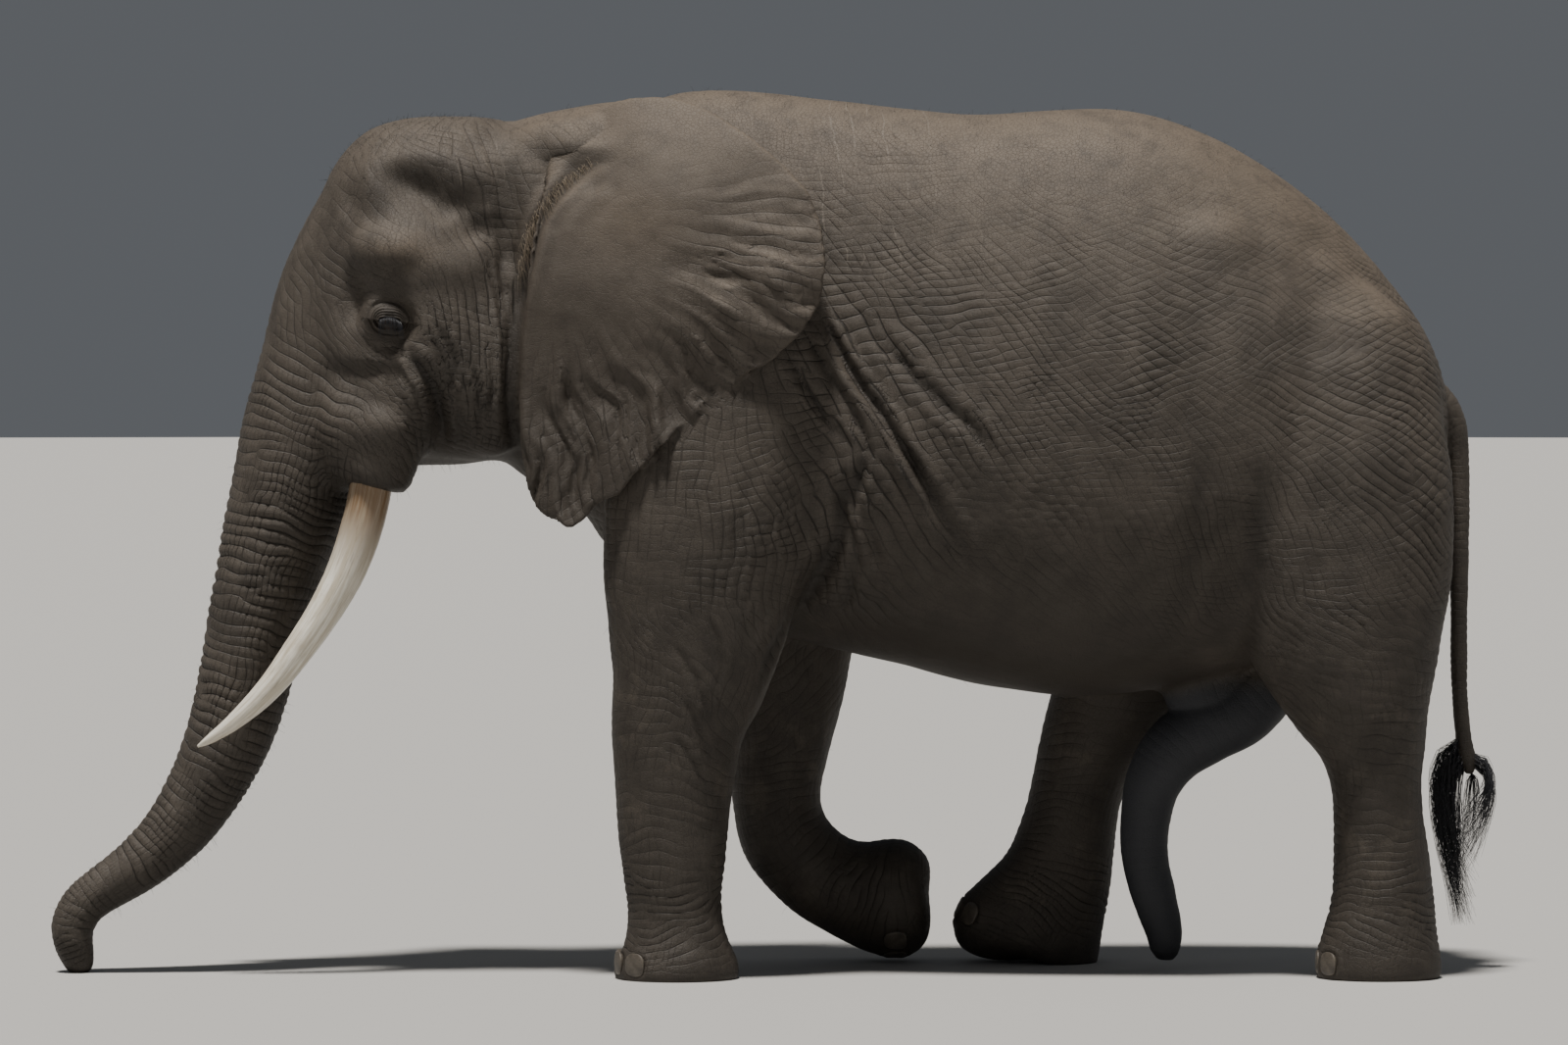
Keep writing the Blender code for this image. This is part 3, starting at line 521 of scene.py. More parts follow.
BODY_SHAPES = (
    (-0.020, 0.55, 2.72, 0.10, 0.25, 0.36, 0.014),
    (0.330, 0.60, 2.30, 0.16, 0.25, 0.42, -0.012),
    (0.120, 0.60, 1.78, 0.09, 0.25, 0.26, -0.026),
    (0.300, 0.60, 1.55, 0.16, 0.25, 0.22, -0.014),
    (1.480, 0.60, 2.10, 0.10, 0.30, 0.30, -0.018),
    (1.620, 0.55, 1.56, 0.11, 0.30, 0.32, -0.036),
    (1.800, 0.55, 2.28, 0.20, 0.30, 0.20, 0.010),
    (2.120, 0.45, 1.45, 0.12, 0.25, 0.28, 0.014),
    (2.130, 0.42, 2.465, 0.13, 0.25, 0.08, -0.018),
    (-0.270, 0.55, 1.62, 0.14, 0.25, 0.26, 0.014),
    (0.700, 0.70, 1.95, 0.30, 0.35, 0.20, 0.010),
    (1.180, 0.45, 3.02, 0.30, 0.22, 0.10, 0.010),
)


def head_local(points):
    """Points as they would lie with the head straight; the neck is turned part of the way."""
    share = step_between(-points[:, 0], 0.80, 1.10)
    turned = with_head(points, back=True)
    return points + (turned - points) * share[:, None]


def swelling(points, shapes):
    total = np.zeros(len(points))
    for x, y, z, *reach, height in shapes:
        away = (points * (1, 0, 1) + np.abs(points * (0, 1, 0)) - (x, y, z)) / reach
        total += height * np.exp(-(away ** 2).sum(axis=1))
    return total


points = mesh_points(skin_mesh).astype(float)
normals = mesh_normals(skin_mesh)
local = head_local(points)
x, y, z = local.T
out = np.abs(y)

# How much of an ear each point is: it lies on the sheet, inside the outline.
outline = through((*EAR_OUTLINE, EAR_OUTLINE[0]), 12) - EAR_HUB
outline_turn = np.unwrap(np.arctan2(outline[:, 1], outline[:, 0]))
order = np.argsort(outline_turn % (2 * math.pi))
from_hub = points[:, (0, 2)] - EAR_HUB
hub_turn = np.arctan2(from_hub[:, 1], from_hub[:, 0]) % (2 * math.pi)
rim = np.interp(hub_turn, (outline_turn % (2 * math.pi))[order],
                np.hypot(*outline.T)[order], period=2 * math.pi)
off_sheet = np.abs(np.abs(points[:, 1]) - ear_out(points[:, 0], points[:, 2]))
rim_share = np.hypot(*from_hub.T) / rim
ear = (1 - step_between(off_sheet, 0.022, 0.045)) * (1 - step_between(rim_share, 1.05, 1.12))
ear *= 1 - step_between(-points[:, 0], 0.52, 0.80) * step_between(points[:, 2], 2.78, 2.98)

# The neck carries on over the ear's upper root.
EAR_TOP_FILLING = (
    (-0.705, 0.34, 2.990, 0.115, 0.20, 0.060, 0.040),
    (-0.800, 0.34, 2.930, 0.070, 0.20, 0.070, 0.012),
)

# Single deep folds, each a path on the side view: the points, its width and its depth.
HEAD_FOLDS = (
    (((-1.385, 2.300), (-1.310, 2.200), (-1.255, 2.110), (-1.225, 2.000), (-1.232, 1.905), (-1.27, 1.83)),
     0.022, 0.020),
    (((-1.02, 2.64), (-0.985, 2.45), (-0.972, 2.20), (-0.965, 1.96)), 0.013, 0.014),
    (((-1.256, 2.389), (-1.200, 2.277), (-1.186, 2.165), (-1.228, 2.053)), 0.011, 0.007),
    (((-1.074, 2.300), (-1.032, 2.153), (-1.060, 1.982)), 0.011, 0.008),
    (((-1.09, 2.66), (-1.03, 2.52), (-1.00, 2.36), (-1.00, 2.16)), 0.010, 0.011),
    (((-1.42, 2.235), (-1.35, 2.150), (-1.30, 2.060), (-1.285, 1.970)), 0.010, 0.007),
    (((-1.13, 2.230), (-1.085, 2.090), (-1.085, 1.940)), 0.012, 0.011),
    (((-1.20, 2.170), (-1.160, 2.060), (-1.150, 1.950)), 0.011, 0.009),
)
EAR_ROOT_FOLDS = (
    (((-0.52, 2.975), (-0.64, 2.938), (-0.735, 2.870), (-0.812, 2.780), (-0.862, 2.675), (-0.893, 2.55),
      (-0.922, 2.40), (-0.938, 2.20), (-0.938, 1.98), (-0.90, 1.78)), 0.021, 0.024),
    (((-0.60, 2.90), (-0.70, 2.835), (-0.775, 2.745), (-0.81, 2.66)), 0.026, 0.010),
)
BODY_FOLDS = (
    (((0.160, 2.460), (0.205, 2.330), (0.295, 2.180), (0.407, 2.010), (0.497, 1.870), (0.590, 1.700)),
     0.018, 0.024),
    (((0.093, 2.360), (0.160, 2.240), (0.250, 2.100), (0.310, 1.980), (0.330, 1.880)), 0.016, 0.014),
    (((0.370, 2.350), (0.497, 2.180), (0.610, 2.080), (0.720, 1.980), (0.800, 1.840)), 0.024, 0.015),
    (((0.026, 2.290), (0.116, 2.126), (0.217, 1.980), (0.275, 1.900)), 0.015, 0.010),
    (((0.306, 1.900), (0.262, 1.756), (0.236, 1.600), (0.180, 1.480), (0.105, 1.340), (0.010, 1.180),
      (-0.060, 1.020)), 0.030, 0.026),
    (((0.450, 2.010), (0.530, 1.810), (0.650, 1.600), (0.720, 1.450)), 0.022, 0.011),
    (((0.330, 1.940), (0.300, 1.780), (0.330, 1.620), (0.400, 1.450)), 0.018, 0.012),
    (((0.270, 1.700), (0.290, 1.540), (0.260, 1.380), (0.200, 1.260)), 0.018, 0.010),
    (((-0.080, 1.900), (-0.110, 1.700), (-0.160, 1.480)), 0.027, 0.005),
    (((-0.370, 1.230), (-0.300, 1.130), (-0.245, 0.990), (-0.225, 0.880)), 0.013, 0.006),
    (((-0.330, 1.040), (-0.270, 0.930), (-0.225, 0.790)), 0.012, 0.006),
    (((-0.360, 0.900), (-0.300, 0.810), (-0.235, 0.680)), 0.012, 0.005),
    (((-0.250, 1.330), (-0.200, 1.210), (-0.180, 1.080)), 0.013, 0.006),
    (((1.440, 2.160), (1.500, 2.040), (1.535, 1.877), (1.527, 1.666), (1.474, 1.403), (1.400, 1.220)),
     0.052, 0.009),
    (((1.700, 1.900), (1.748, 1.771), (1.737, 1.561), (1.735, 1.350), (1.770, 1.180)), 0.060, 0.011),
)


def fold_lines(x, z, folds):
    """How deep a set of single folds is at each place on the side view."""
    total = np.zeros(len(x))
    for path, width, depth in folds:
        path = through(path, 4)
        step = np.linalg.norm(np.diff(path, axis=0), axis=1)
        travelled = np.concatenate(([0.0], np.cumsum(step))) / step.sum()
        low, high = path.min(axis=0) - 3 * width, path.max(axis=0) + 3 * width
        inside = np.flatnonzero((x > low[0]) & (x < high[0]) & (z > low[1]) & (z < high[1]))
        spots = np.column_stack((x[inside], z[inside]))
        best = np.full(len(inside), np.inf)
        along = np.zeros(len(inside))
        for a, b, start, end in zip(path, path[1:], travelled, travelled[1:]):
            t = np.clip((spots - a) @ (b - a) / ((b - a) @ (b - a)), 0, 1)
            gap = np.linalg.norm(spots - a - t[:, None] * (b - a), axis=1)
            closer = gap < best
            best[closer] = gap[closer]
            along[closer] = (start + (end - start) * t)[closer]
        taper = step_between(along, 0.0, 0.22) * step_between(1 - along, 0.0, 0.22)
        groove = bell(best, 0.0, width) - 0.5 * np.exp(-((best - 2.2 * width) / (1.2 * width)) ** 2)
        total[inside] += 0.75 * depth * taper * groove
    return total


sideways = step_between(np.abs(normals[:, 1]), 0.25, 0.60)
waver = 0.014 * swell(points * 6.0, 60)
height = swelling(local, HEAD_SHAPES) * step_between(-x, 0.80, 0.95)
height += swelling(points, BODY_SHAPES)
folded = fold_lines(x + waver, z, HEAD_FOLDS) * sideways * step_between(out, 0.10, 0.18)
folded += fold_lines(x + waver, z, BODY_FOLDS) * sideways * step_between(out, 0.28, 0.36)
outward = step_between(normals[:, 1] * np.sign(y), 0.15, 0.50)
outward *= step_between(out, 0.16, 0.24)
root_fold = fold_lines(points[:, 0] + 0.5 * waver, points[:, 2], EAR_ROOT_FOLDS) * outward
height = (height - folded) * (1 - ear) - root_fold + swelling(points, EAR_TOP_FILLING) * outward
folded = folded * (1 - ear) + root_fold
points += normals * height[:, None]
move_points(skin_mesh, points)

# ------------------------------------------------------------------ the hide: wrinkles
# The hide creases where it moves: rings round trunk, tail and wrists, long slanting folds
# over shoulder and flank with finer ones across them, a fan at the tail, and folds that
# circle the eye. Each row below tells how the folds run at one place on the side.
# x, z, fall of the folds in degrees toward the tail, spacing, depth, fall of the folds
# that cross them, their depth (lengths in mm)
FOLD_CHART = (
    # forehead, temple and crown
    (-1.56, 2.85, 20, 45, 1.4, 100, 1.0), (-1.50, 2.68, 5, 45, 1.5, 90, 1.2),
    (-1.35, 3.02, 95, 45, 1.6, 5, 1.0), (-1.18, 3.02, 75, 48, 3.0, 5, 2.0),
    (-1.10, 2.88, 68, 46, 4.2, 2, 2.4), (-0.98, 2.80, 62, 44, 4.2, -8, 2.2),
    (-1.30, 2.70, 35, 50, 1.6, 95, 0.8), (-0.95, 2.98, 45, 45, 0.6, 0, 0.3),
    # eye, cheek and the folds before the ear
    (-1.54, 2.48, 75, 38, 2.2, 0, 1.2), (-1.42, 2.52, -5, 40, 1.4, 95, 1.0),
    (-1.28, 2.50, 30, 34, 1.8, 95, 1.0), (-1.15, 2.47, 78, 36, 3.4, -10, 1.1),
    (-1.06, 2.52, 75, 40, 4.5, -10, 1.0), (-0.99, 2.45, 85, 44, 5.5, 0, 0.9),
    (-0.97, 2.10, 92, 33, 7.2, 0, 3.0), (-1.15, 2.30, 86, 33, 4.9, 20, 3.1),
    (-1.30, 2.28, 50, 33, 4.6, -40, 3.1), (-1.12, 2.12, 78, 33, 6.4, 5, 5.2),
    (-1.22, 2.12, 62, 33, 5.5, -10, 3.9), (-1.05, 1.95, 100, 33, 4.3, 10, 3.5),
    (-1.42, 2.30, 40, 34, 2.2, -50, 1.4), (-1.36, 2.20, 45, 34, 3.4, -40, 2.0),
    (-1.46, 2.16, 24, 40, 3.0, -60, 1.6), (-1.40, 2.02, 48, 38, 2.4, -35, 1.8),
    (-1.42, 1.88, 0, 42, 1.6, 85, 2.0), (-1.30, 1.95, 75, 33, 4.3, 0, 3.0),
    # root of the trunk
    (-1.64, 2.42, 12, 37, 3.4, 90, 1.8), (-1.60, 2.20, 22, 36, 3.8, 92, 2.4),
    (-1.66, 2.05, 10, 37, 4.7, 90, 2.8), (-1.54, 2.02, 24, 33, 3.3, 95, 2.6),
    (-1.70, 1.80, 4, 52, 6.0, 90, 3.0),
    # neck, throat, withers and shoulder
    (-0.85, 1.75, 60, 55, 3.0, 0, 1.5), (-0.60, 1.75, 95, 55, 3.0, 0, 1.5),
    (-0.45, 2.10, 100, 50, 3.0, 10, 1.5), (-0.50, 2.70, 90, 50, 2.0, 0, 1.0),
    (-0.30, 3.10, 90, 40, 0.8, 10, 0.3), (0.05, 3.02, 85, 36, 1.2, 20, 0.5),
    (-0.22, 2.05, 108, 42, 3.0, 15, 1.6), (-0.06, 2.13, 88, 44, 3.5, 5, 2.0),
    (0.05, 2.13, 66, 46, 4.5, -10, 2.5), (0.16, 2.01, 52, 50, 6.0, -15, 3.0),
    (0.00, 1.86, 48, 38, 3.5, -24, 3.5), (-0.02, 1.70, 42, 34, 2.8, -28, 3.2),
    (-0.25, 1.80, 104, 40, 2.4, 0, 1.8), (-0.40, 1.60, 100, 44, 1.8, 5, 1.4),
    (-0.12, 1.50, 96, 40, 1.8, 0, 1.6), (0.00, 1.42, 105, 48, 3.0, 10, 1.4),
    # ribs and flank
    (0.22, 2.29, 60, 62, 7.0, -5, 3.0), (0.27, 2.46, 58, 48, 4.0, -5, 2.4),
    (0.27, 2.80, 47, 42, 2.0, -8, 1.2), (0.50, 2.57, 50, 37, 3.6, -10, 2.4),
    (0.33, 2.07, 54, 66, 7.5, -8, 3.5), (0.55, 1.95, 57, 45, 5.0, -5, 3.5),
    (0.61, 2.24, 55, 37, 4.0, -6, 3.2), (0.83, 2.01, 58, 34, 3.4, -5, 3.2),
    (0.22, 1.72, 75, 60, 6.0, 0, 1.5), (0.50, 1.62, 60, 48, 3.5, 0, 1.0),
    (0.94, 2.24, 50, 37, 3.6, -10, 3.0), (1.06, 2.46, 44, 35, 3.0, -14, 1.9),
    (0.72, 2.82, 45, 35, 1.0, -10, 0.6), (1.17, 2.85, 20, 40, 0.4, -30, 0.3),
    (1.28, 2.57, 30, 35, 2.2, -20, 1.4), (1.39, 2.24, 40, 34, 3.4, -18, 2.4),
    (1.25, 2.02, 42, 30, 3.2, -12, 3.2), (0.83, 1.68, 40, 40, 1.2, 0, 0.8),
    (1.20, 1.70, 60, 40, 1.4, 0, 0.8), (0.60, 1.25, 20, 48, 0.8, 90, 0.4),
    (1.20, 1.20, 20, 48, 0.8, 90, 0.4), (1.48, 1.45, 74, 38, 2.4, 0, 1.2),
    (1.42, 1.20, 74, 38, 2.4, 0, 1.5), (1.58, 1.70, 74, 38, 2.4, 5, 1.6),
    # rump, tail base and thigh
    (1.55, 2.85, 12, 40, 0.6, -40, 0.5), (1.61, 2.60, 8, 37, 1.2, -38, 0.9),
    (1.62, 2.28, 22, 35, 2.4, -34, 1.7), (1.84, 2.40, 38, 34, 2.0, -40, 1.5),
    (1.80, 2.12, 30, 30, 2.8, -42, 2.0), (1.98, 2.20, 18, 32, 2.6, -26, 1.8),
    (2.20, 2.20, 14, 35, 3.2, -38, 2.2), (2.10, 2.06, 20, 37, 4.4, -30, 2.6),
    (2.30, 2.00, 22, 38, 5.5, -40, 2.4), (2.20, 1.88, 28, 38, 5.0, -30, 2.2),
    (2.35, 1.80, 30, 38, 5.5, -40, 2.0), (2.02, 1.88, 38, 34, 3.2, -30, 2.0),
    (2.36, 1.58, 42, 34, 4.0, -30, 2.0), (2.20, 1.55, 55, 34, 3.0, -15, 1.6),
    (1.85, 1.75, 70, 36, 2.4, 0, 1.5), (1.76, 1.50, 70, 36, 2.4, 0, 1.4),
    (1.98, 1.45, 70, 36, 2.4, 0, 1.6), (2.30, 1.30, 48, 35, 3.6, -20, 1.8),
    (2.05, 1.15, 66, 34, 2.6, -15, 1.8), (2.28, 1.08, 30, 37, 3.0, -20, 1.8),
)
FOLD_LENGTH = 0.15
CHART_REACH = 0.085
CHART_STEP = 0.025
LEG_RINGS = ((-1, 1.5), (0.06, 1.8), (0.14, 3.6), (0.34, 3.6), (0.48, 2.2), (0.75, 1.7), (1.1, 1.8))


def charted(x, z):
    """The fold chart's five values at each place, blended smoothly."""
    chart = np.array(FOLD_CHART)
    xs = np.arange(-2.75, 2.75, CHART_STEP)
    zs = np.arange(-0.05, 3.35, CHART_STEP)
    grid_x, grid_z = np.meshgrid(xs, zs, indexing="ij")
    away = (grid_x[..., None] - chart[:, 0]) ** 2 + (grid_z[..., None] - chart[:, 1]) ** 2
    reach = np.sqrt(away.min(axis=-1, keepdims=True)) * 0.5 + CHART_REACH
    share = np.exp(-away / (2 * reach ** 2)) + 1e-12
    values = (share / share.sum(axis=-1, keepdims=True)) @ chart[:, 2:]
    u = np.clip((x - xs[0]) / CHART_STEP, 0, len(xs) - 1.001)
    v = np.clip((z - zs[0]) / CHART_STEP, 0, len(zs) - 1.001)
    i, j = u.astype(int), v.astype(int)
    p, q = (u - i)[:, None], (v - j)[:, None]
    low = values[i, j] * (1 - q) + values[i, j + 1] * q
    high = values[i + 1, j] * (1 - q) + values[i + 1, j + 1] * q
    return (low * (1 - p) + high * p).T


def along_path(points, rows, side, steps=10):
    """How far along a limb each point is, the limb's direction there, and how near it is."""
    rows = through(rows, steps)
    middle = rows[:, :3] * (1.0, side, 1.0)
    travelled = np.concatenate(([0.0], np.cumsum(np.linalg.norm(np.diff(middle, axis=0), axis=1))))
    heading = np.gradient(middle, axis=0)
    heading /= np.linalg.norm(heading, axis=1)[:, None]
    fat = np.maximum(rows[:, -1], rows[:, -2])
    best = np.full(len(points), np.inf)
    nearest = np.zeros(len(points), dtype=int)
    for k, centre in enumerate(middle):
        gap = ((points - centre) ** 2).sum(axis=1)
        closer = gap < best
        best[closer] = gap[closer]
        nearest[closer] = k
    return travelled[nearest], heading[nearest], np.sqrt(best) / fat[nearest]


def furrows(points, across, pitch, salt, reach=0.10, count=3):
    """Cosine and sine of how far each point is from one line to the next, for wavering
    lines that lie at right angles to `across` and about `pitch` apart."""
    cell = np.floor(points / reach).astype(np.int64)
    points = points.astype(np.float32)
    rate = (across * (2 * math.pi / pitch)[:, None]).astype(np.float32)
    cos_sum = np.zeros(len(points), dtype=np.float32)
    sin_sum = np.zeros(len(points), dtype=np.float32)
    for corner in np.ndindex(3, 3, 3):
        near = cell + corner - np.array((1, 1, 1))
        for k in range(count):
            pick = scatter(near, salt + 31 * k)
            gap = points - ((near + SPOTS[pick]) * reach).astype(np.float32)
            weight = np.clip(1 - (gap ** 2).sum(axis=1) / reach ** 2, 0, None) ** 3
            turn = (gap * rate).sum(axis=1) + (2 * math.pi * SPOTS[pick - 1, 0]).astype(np.float32)
            cos_sum += weight * np.cos(turn)
            sin_sum += weight * np.sin(turn)
    size = np.hypot(cos_sum, sin_sum) + 1e-6
    return cos_sum / size, sin_sum / size, np.clip(size * 1.5, 0, 1)


def unit(vectors):
    return vectors / (np.linalg.norm(vectors, axis=1)[:, None] + 1e-9)


# Toenails: middle of the sole, way the toes point, way up the foot, reach forward and
# sideways, how many.
FEET = {
    "fore_left": ((-0.350, -0.350, 0.0), (-1, 0, 0), (0, 0, 1), 0.222, 0.208, 4),
    "fore_right": ((0.505, 0.350, 0.238), (0, 0, -1), (-1, 0, 0), 0.218, 0.208, 4),
    "hind_left": ((2.190, -0.335, 0.0), (-1, 0, 0), (0, 0, 1), 0.224, 0.200, 3),
    "hind_right": ((0.914, 0.335, 0.035), (-0.91, 0, 0.41), (0.41, 0, 0.91), 0.280, 0.204, 3),
}
NAIL_HEIGHT = 0.058
NAIL_SIZE = (0.022, 0.047, 0.043)      # half thickness, half width, half height
NAIL_SPREAD = math.radians(31)
NAIL_FIT = 0.98
CUTICLE_RISE = 0.0035
CUTICLE_GROOVE = 0.002


def nail_place(foot, number):
    """Where a toenail lies: its axes point out of the foot, across it and up it."""
    sole, toes, up, deep, wide, count = FEET[foot]
    toes = Vector(toes).normalized()
    up = Vector(up).normalized()
    across = up.cross(toes)
    angle = (number - (count - 1) / 2) * NAIL_SPREAD
    outward = toes * math.cos(angle) + across * math.sin(angle)
    rim = toes * math.cos(angle) * deep + across * math.sin(angle) * wide
    centre = Vector(sole) + rim + up * NAIL_HEIGHT
    turn = Matrix((outward, up.cross(outward), up)).transposed().to_4x4()
    return Matrix.Translation(centre) @ turn


points = mesh_points(skin_mesh).astype(float)
normals = mesh_normals(skin_mesh).astype(float)
low = np.flatnonzero(points[:, 2] < 0.45)
for foot, (*_, count) in FEET.items():
    for number in range(count):
        back_to_nail = np.array(nail_place(foot, number).inverted())
        at_nail = (points[low] @ back_to_nail[:3, :3].T + back_to_nail[:3, 3]) / NAIL_SIZE
        away = np.linalg.norm(at_nail, axis=1)
        cuticle = CUTICLE_RISE * bell(away, 1.35, 0.30)
        cuticle -= CUTICLE_GROOVE * bell(away, 1.0, 0.2)
        points[low] += normals[low] * cuticle[:, None]
local = head_local(points)
x, y, z = local.T
half = np.where(points[:, 1] < 0, -1.0, 1.0)

# Which way is down the body or down the limb at each point.
girth = np.cross((1.0, 0.0, 0.0), normals) * -half[:, None]
upright_share = step_between(np.abs(normals[:, 0]), 0.45, 0.85)
plumb = np.array((0.0, 0.0, -1.0))
down = girth * (1 - upright_share)[:, None] + plumb * upright_share[:, None]
head = step_between(-x, 0.85, 1.05)
down = down * (1 - head)[:, None] + (np.array((-0.25, 0.0, -1.0)) * head[:, None])
limbs = {}
for name, rows, side in (
    ("foreleg_left", FORELEG_PLANTED, -1.0), ("foreleg_right", FORELEG_TOE_OFF, 1.0),
    ("hindleg_left", HINDLEG_PLANTED, -1.0), ("hindleg_right", HINDLEG_HEEL_DOWN, 1.0),
    ("tail", in_middle(round_rows(TAIL)), 1.0), ("penis", in_middle(round_rows(PENIS)), 1.0),
    ("trunk", in_middle(TRUNK), 1.0),
):
    travelled, heading, near = along_path(local, rows, side)
    share = 1 - step_between(near, 1.30, 1.75)
    if "leg" in name:
        share *= 1 - step_between(z, 1.05, 1.45)
        share *= step_between(y * side, 0.02, 0.08)
    if name == "trunk":
        share *= step_between(travelled, 0.30, 0.75) * step_between(-x, 1.30, 1.42)
    if name == "tail":
        share = (1 - step_between(near, 1.5, 2.4)) * step_between(x, 2.40, 2.46)
    if name == "penis":
        share = (1 - step_between(near, 1.22, 1.75)) * (1 - step_between(z, 1.00, 1.10))
        share *= 1 - step_between(np.abs(y), 0.15, 0.20)
    down = down * (1 - share)[:, None] + heading * share[:, None]
    limbs[name] = share, travelled
down = unit(down - normals * (down * normals).sum(axis=1)[:, None])
around = np.cross(normals, down)

trunk, trunk_far = limbs["trunk"]
leg = sum(limbs[name][0] for name in limbs if "leg" in name)
tail = limbs["tail"][0]
penis = limbs["penis"][0]

trunk_depth = np.interp(trunk_far, (0.6, 1.2, 2.0, 2.9), (4.6, 7.2, 6.0, 3.2))
slant = 26.0 * swell(points * 3.4, 61)
slant += 34.0 * bell(z, 0.92, 0.26) * step_between(x, -0.42, -0.26)

# The ear's own fine folds run out from its front edge, and its root is smooth.
ear_turn = np.degrees(np.arctan2(EAR_FOLD_CENTRE[1] - points[:, 2], points[:, 0] - EAR_FOLD_CENTRE[0]))
ear_reach = np.hypot(points[:, 0] - EAR_FOLD_CENTRE[0], points[:, 2] - EAR_FOLD_CENTRE[1])
ear_fall = np.clip(ear_turn, -60, 120)
hanging = step_between(ear_reach, 0.35, 0.85) * step_between(ear_turn, -20.0, 15.0)

# Folds circle the eye.
eye_x, eye_z = x - EYE_CENTRE[0], z - EYE_CENTRE[2]
eye_far = np.hypot(eye_x, eye_z)
circling = bell(eye_far, 0.0, 0.17) * head * step_between(np.abs(y), 0.15, 0.25)
circle_fall = np.degrees(np.arctan2(eye_x, eye_z))
circle_fall = np.where(circle_fall > 110, circle_fall - 180, circle_fall)
circle_fall = np.where(circle_fall < -70, circle_fall + 180, circle_fall)

# How much of each part a point is, and how the folds run there instead of the chart's way.
folds = dict(zip(("fall", "pitch", "depth", "cross_fall", "cross_depth"), charted(x, z)))
for share, instead in (
    (leg, {"fall": slant, "cross_fall": 90.0 + 20.0 * swell(points * 4.0, 62),
           "depth": np.interp(z, *np.array(LEG_RINGS).T),
           "pitch": np.interp(z, (0.10, 0.40, 0.75), (29.0, 33.0, 40.0)), "cross_depth": 1.2}),
    (trunk, {"fall": 0.0, "cross_fall": 90.0, "depth": trunk_depth, "cross_depth": trunk_depth * 0.5,
             "pitch": np.interp(trunk_far, (0.6, 1.2, 2.0, 2.9), (36, 41, 34, 24))}),
    (tail, {"fall": 0.0, "pitch": 26.0, "depth": 2.2, "cross_depth": 0.0}),
    (penis, {"fall": 0.0, "depth": 0.7, "cross_depth": 0.3}),
    (ear, {"fall": ear_fall, "pitch": 46.0, "depth": 0.25 + 2.6 * hanging,
           "cross_fall": ear_fall + 65, "cross_depth": 0.15 + 0.9 * hanging}),
    (circling, {"fall": circle_fall, "pitch": 30.0}),
):
    for key, other in instead.items():
        folds[key] = folds[key] * (1 - share) + other * share
fall, pitch, depth, cross_fall, cross_depth = folds.values()

# The spine, the belly's middle, the soles and the trunk's tip stay smooth.
smooth_top = step_between(normals[:, 2], 0.55, 0.9) * (1 - head) * (1 - leg)
smooth_low = step_between(-normals[:, 2], 0.5, 0.95)
calm = (1 - 0.85 * smooth_top) * (1 - 0.8 * smooth_low) * step_between(z, 0.01, 0.05)
depth *= calm
cross_depth *= calm

bend = 0.013 + 0.009 * leg + 0.005 * trunk
warp = np.column_stack([swell(points * 7.0, 40 + k) for k in range(3)]) * bend[:, None]
pitch = pitch * (1 + 0.30 * np.clip(swell(points * 2.6, 54), -0.8, 0.8))
patch = 0.55 + 0.75 * np.clip(swell(points * 4.5, 50) + 0.35, 0, 1)
cross_patch = 0.45 + 0.9 * np.clip(swell(points * 5.5, 51) + 0.3, 0, 1)
lean, cross_lean = np.radians(fall), np.radians(cross_fall)
across = around * (half * np.sin(lean))[:, None] + down * np.cos(lean)[:, None]
cross_across = around * np.sin(cross_lean)[:, None] + down * (half * np.cos(cross_lean))[:, None]
cos_a, sin_a, size_a = furrows(points + warp, across, pitch / 1000, 11, reach=FOLD_LENGTH)
cos_b, sin_b, size_b = furrows(points + warp, cross_across, pitch * (0.76 - 0.14 * trunk) / 1000, 12)
depth *= patch * size_a
cross_depth *= cross_patch * size_b
valley = ((1 + cos_a) / 2) ** 2
cross_valley = ((1 + cos_b) / 2) ** 2
relief = depth * (0.375 - valley) + cross_depth * (0.375 - cross_valley)
relief += 1.2 * swell(points * 16.0, 52) * calm + 3.0 * swell(points * 5.0, 53) * (1 - ear)
points += normals * (relief / 1000)[:, None]
points[:, 2] = np.maximum(points[:, 2], 0.0)
move_points(skin_mesh, points)


# ------------------------------------------------------------------ the hide: eyelids
# A thick upper lid with fine folds rolls over the eye, and a thin lower one lies under it.
# Both are shaped in the hide itself, over and round the eye's ball.
LID_HALF_LENGTH = 0.043
LID_OPENING = 0.0140
# height, distance from the opening, width
UPPER_LID_ROLLS = ((0.006, 0.030, 0.016), (-0.009, 0.056, 0.010))
LOWER_LID_ROLLS = (
    (0.006, 0.006, 0.005), (-0.008, 0.018, 0.006), (0.007, 0.030, 0.007), (-0.007, 0.044, 0.007),
)
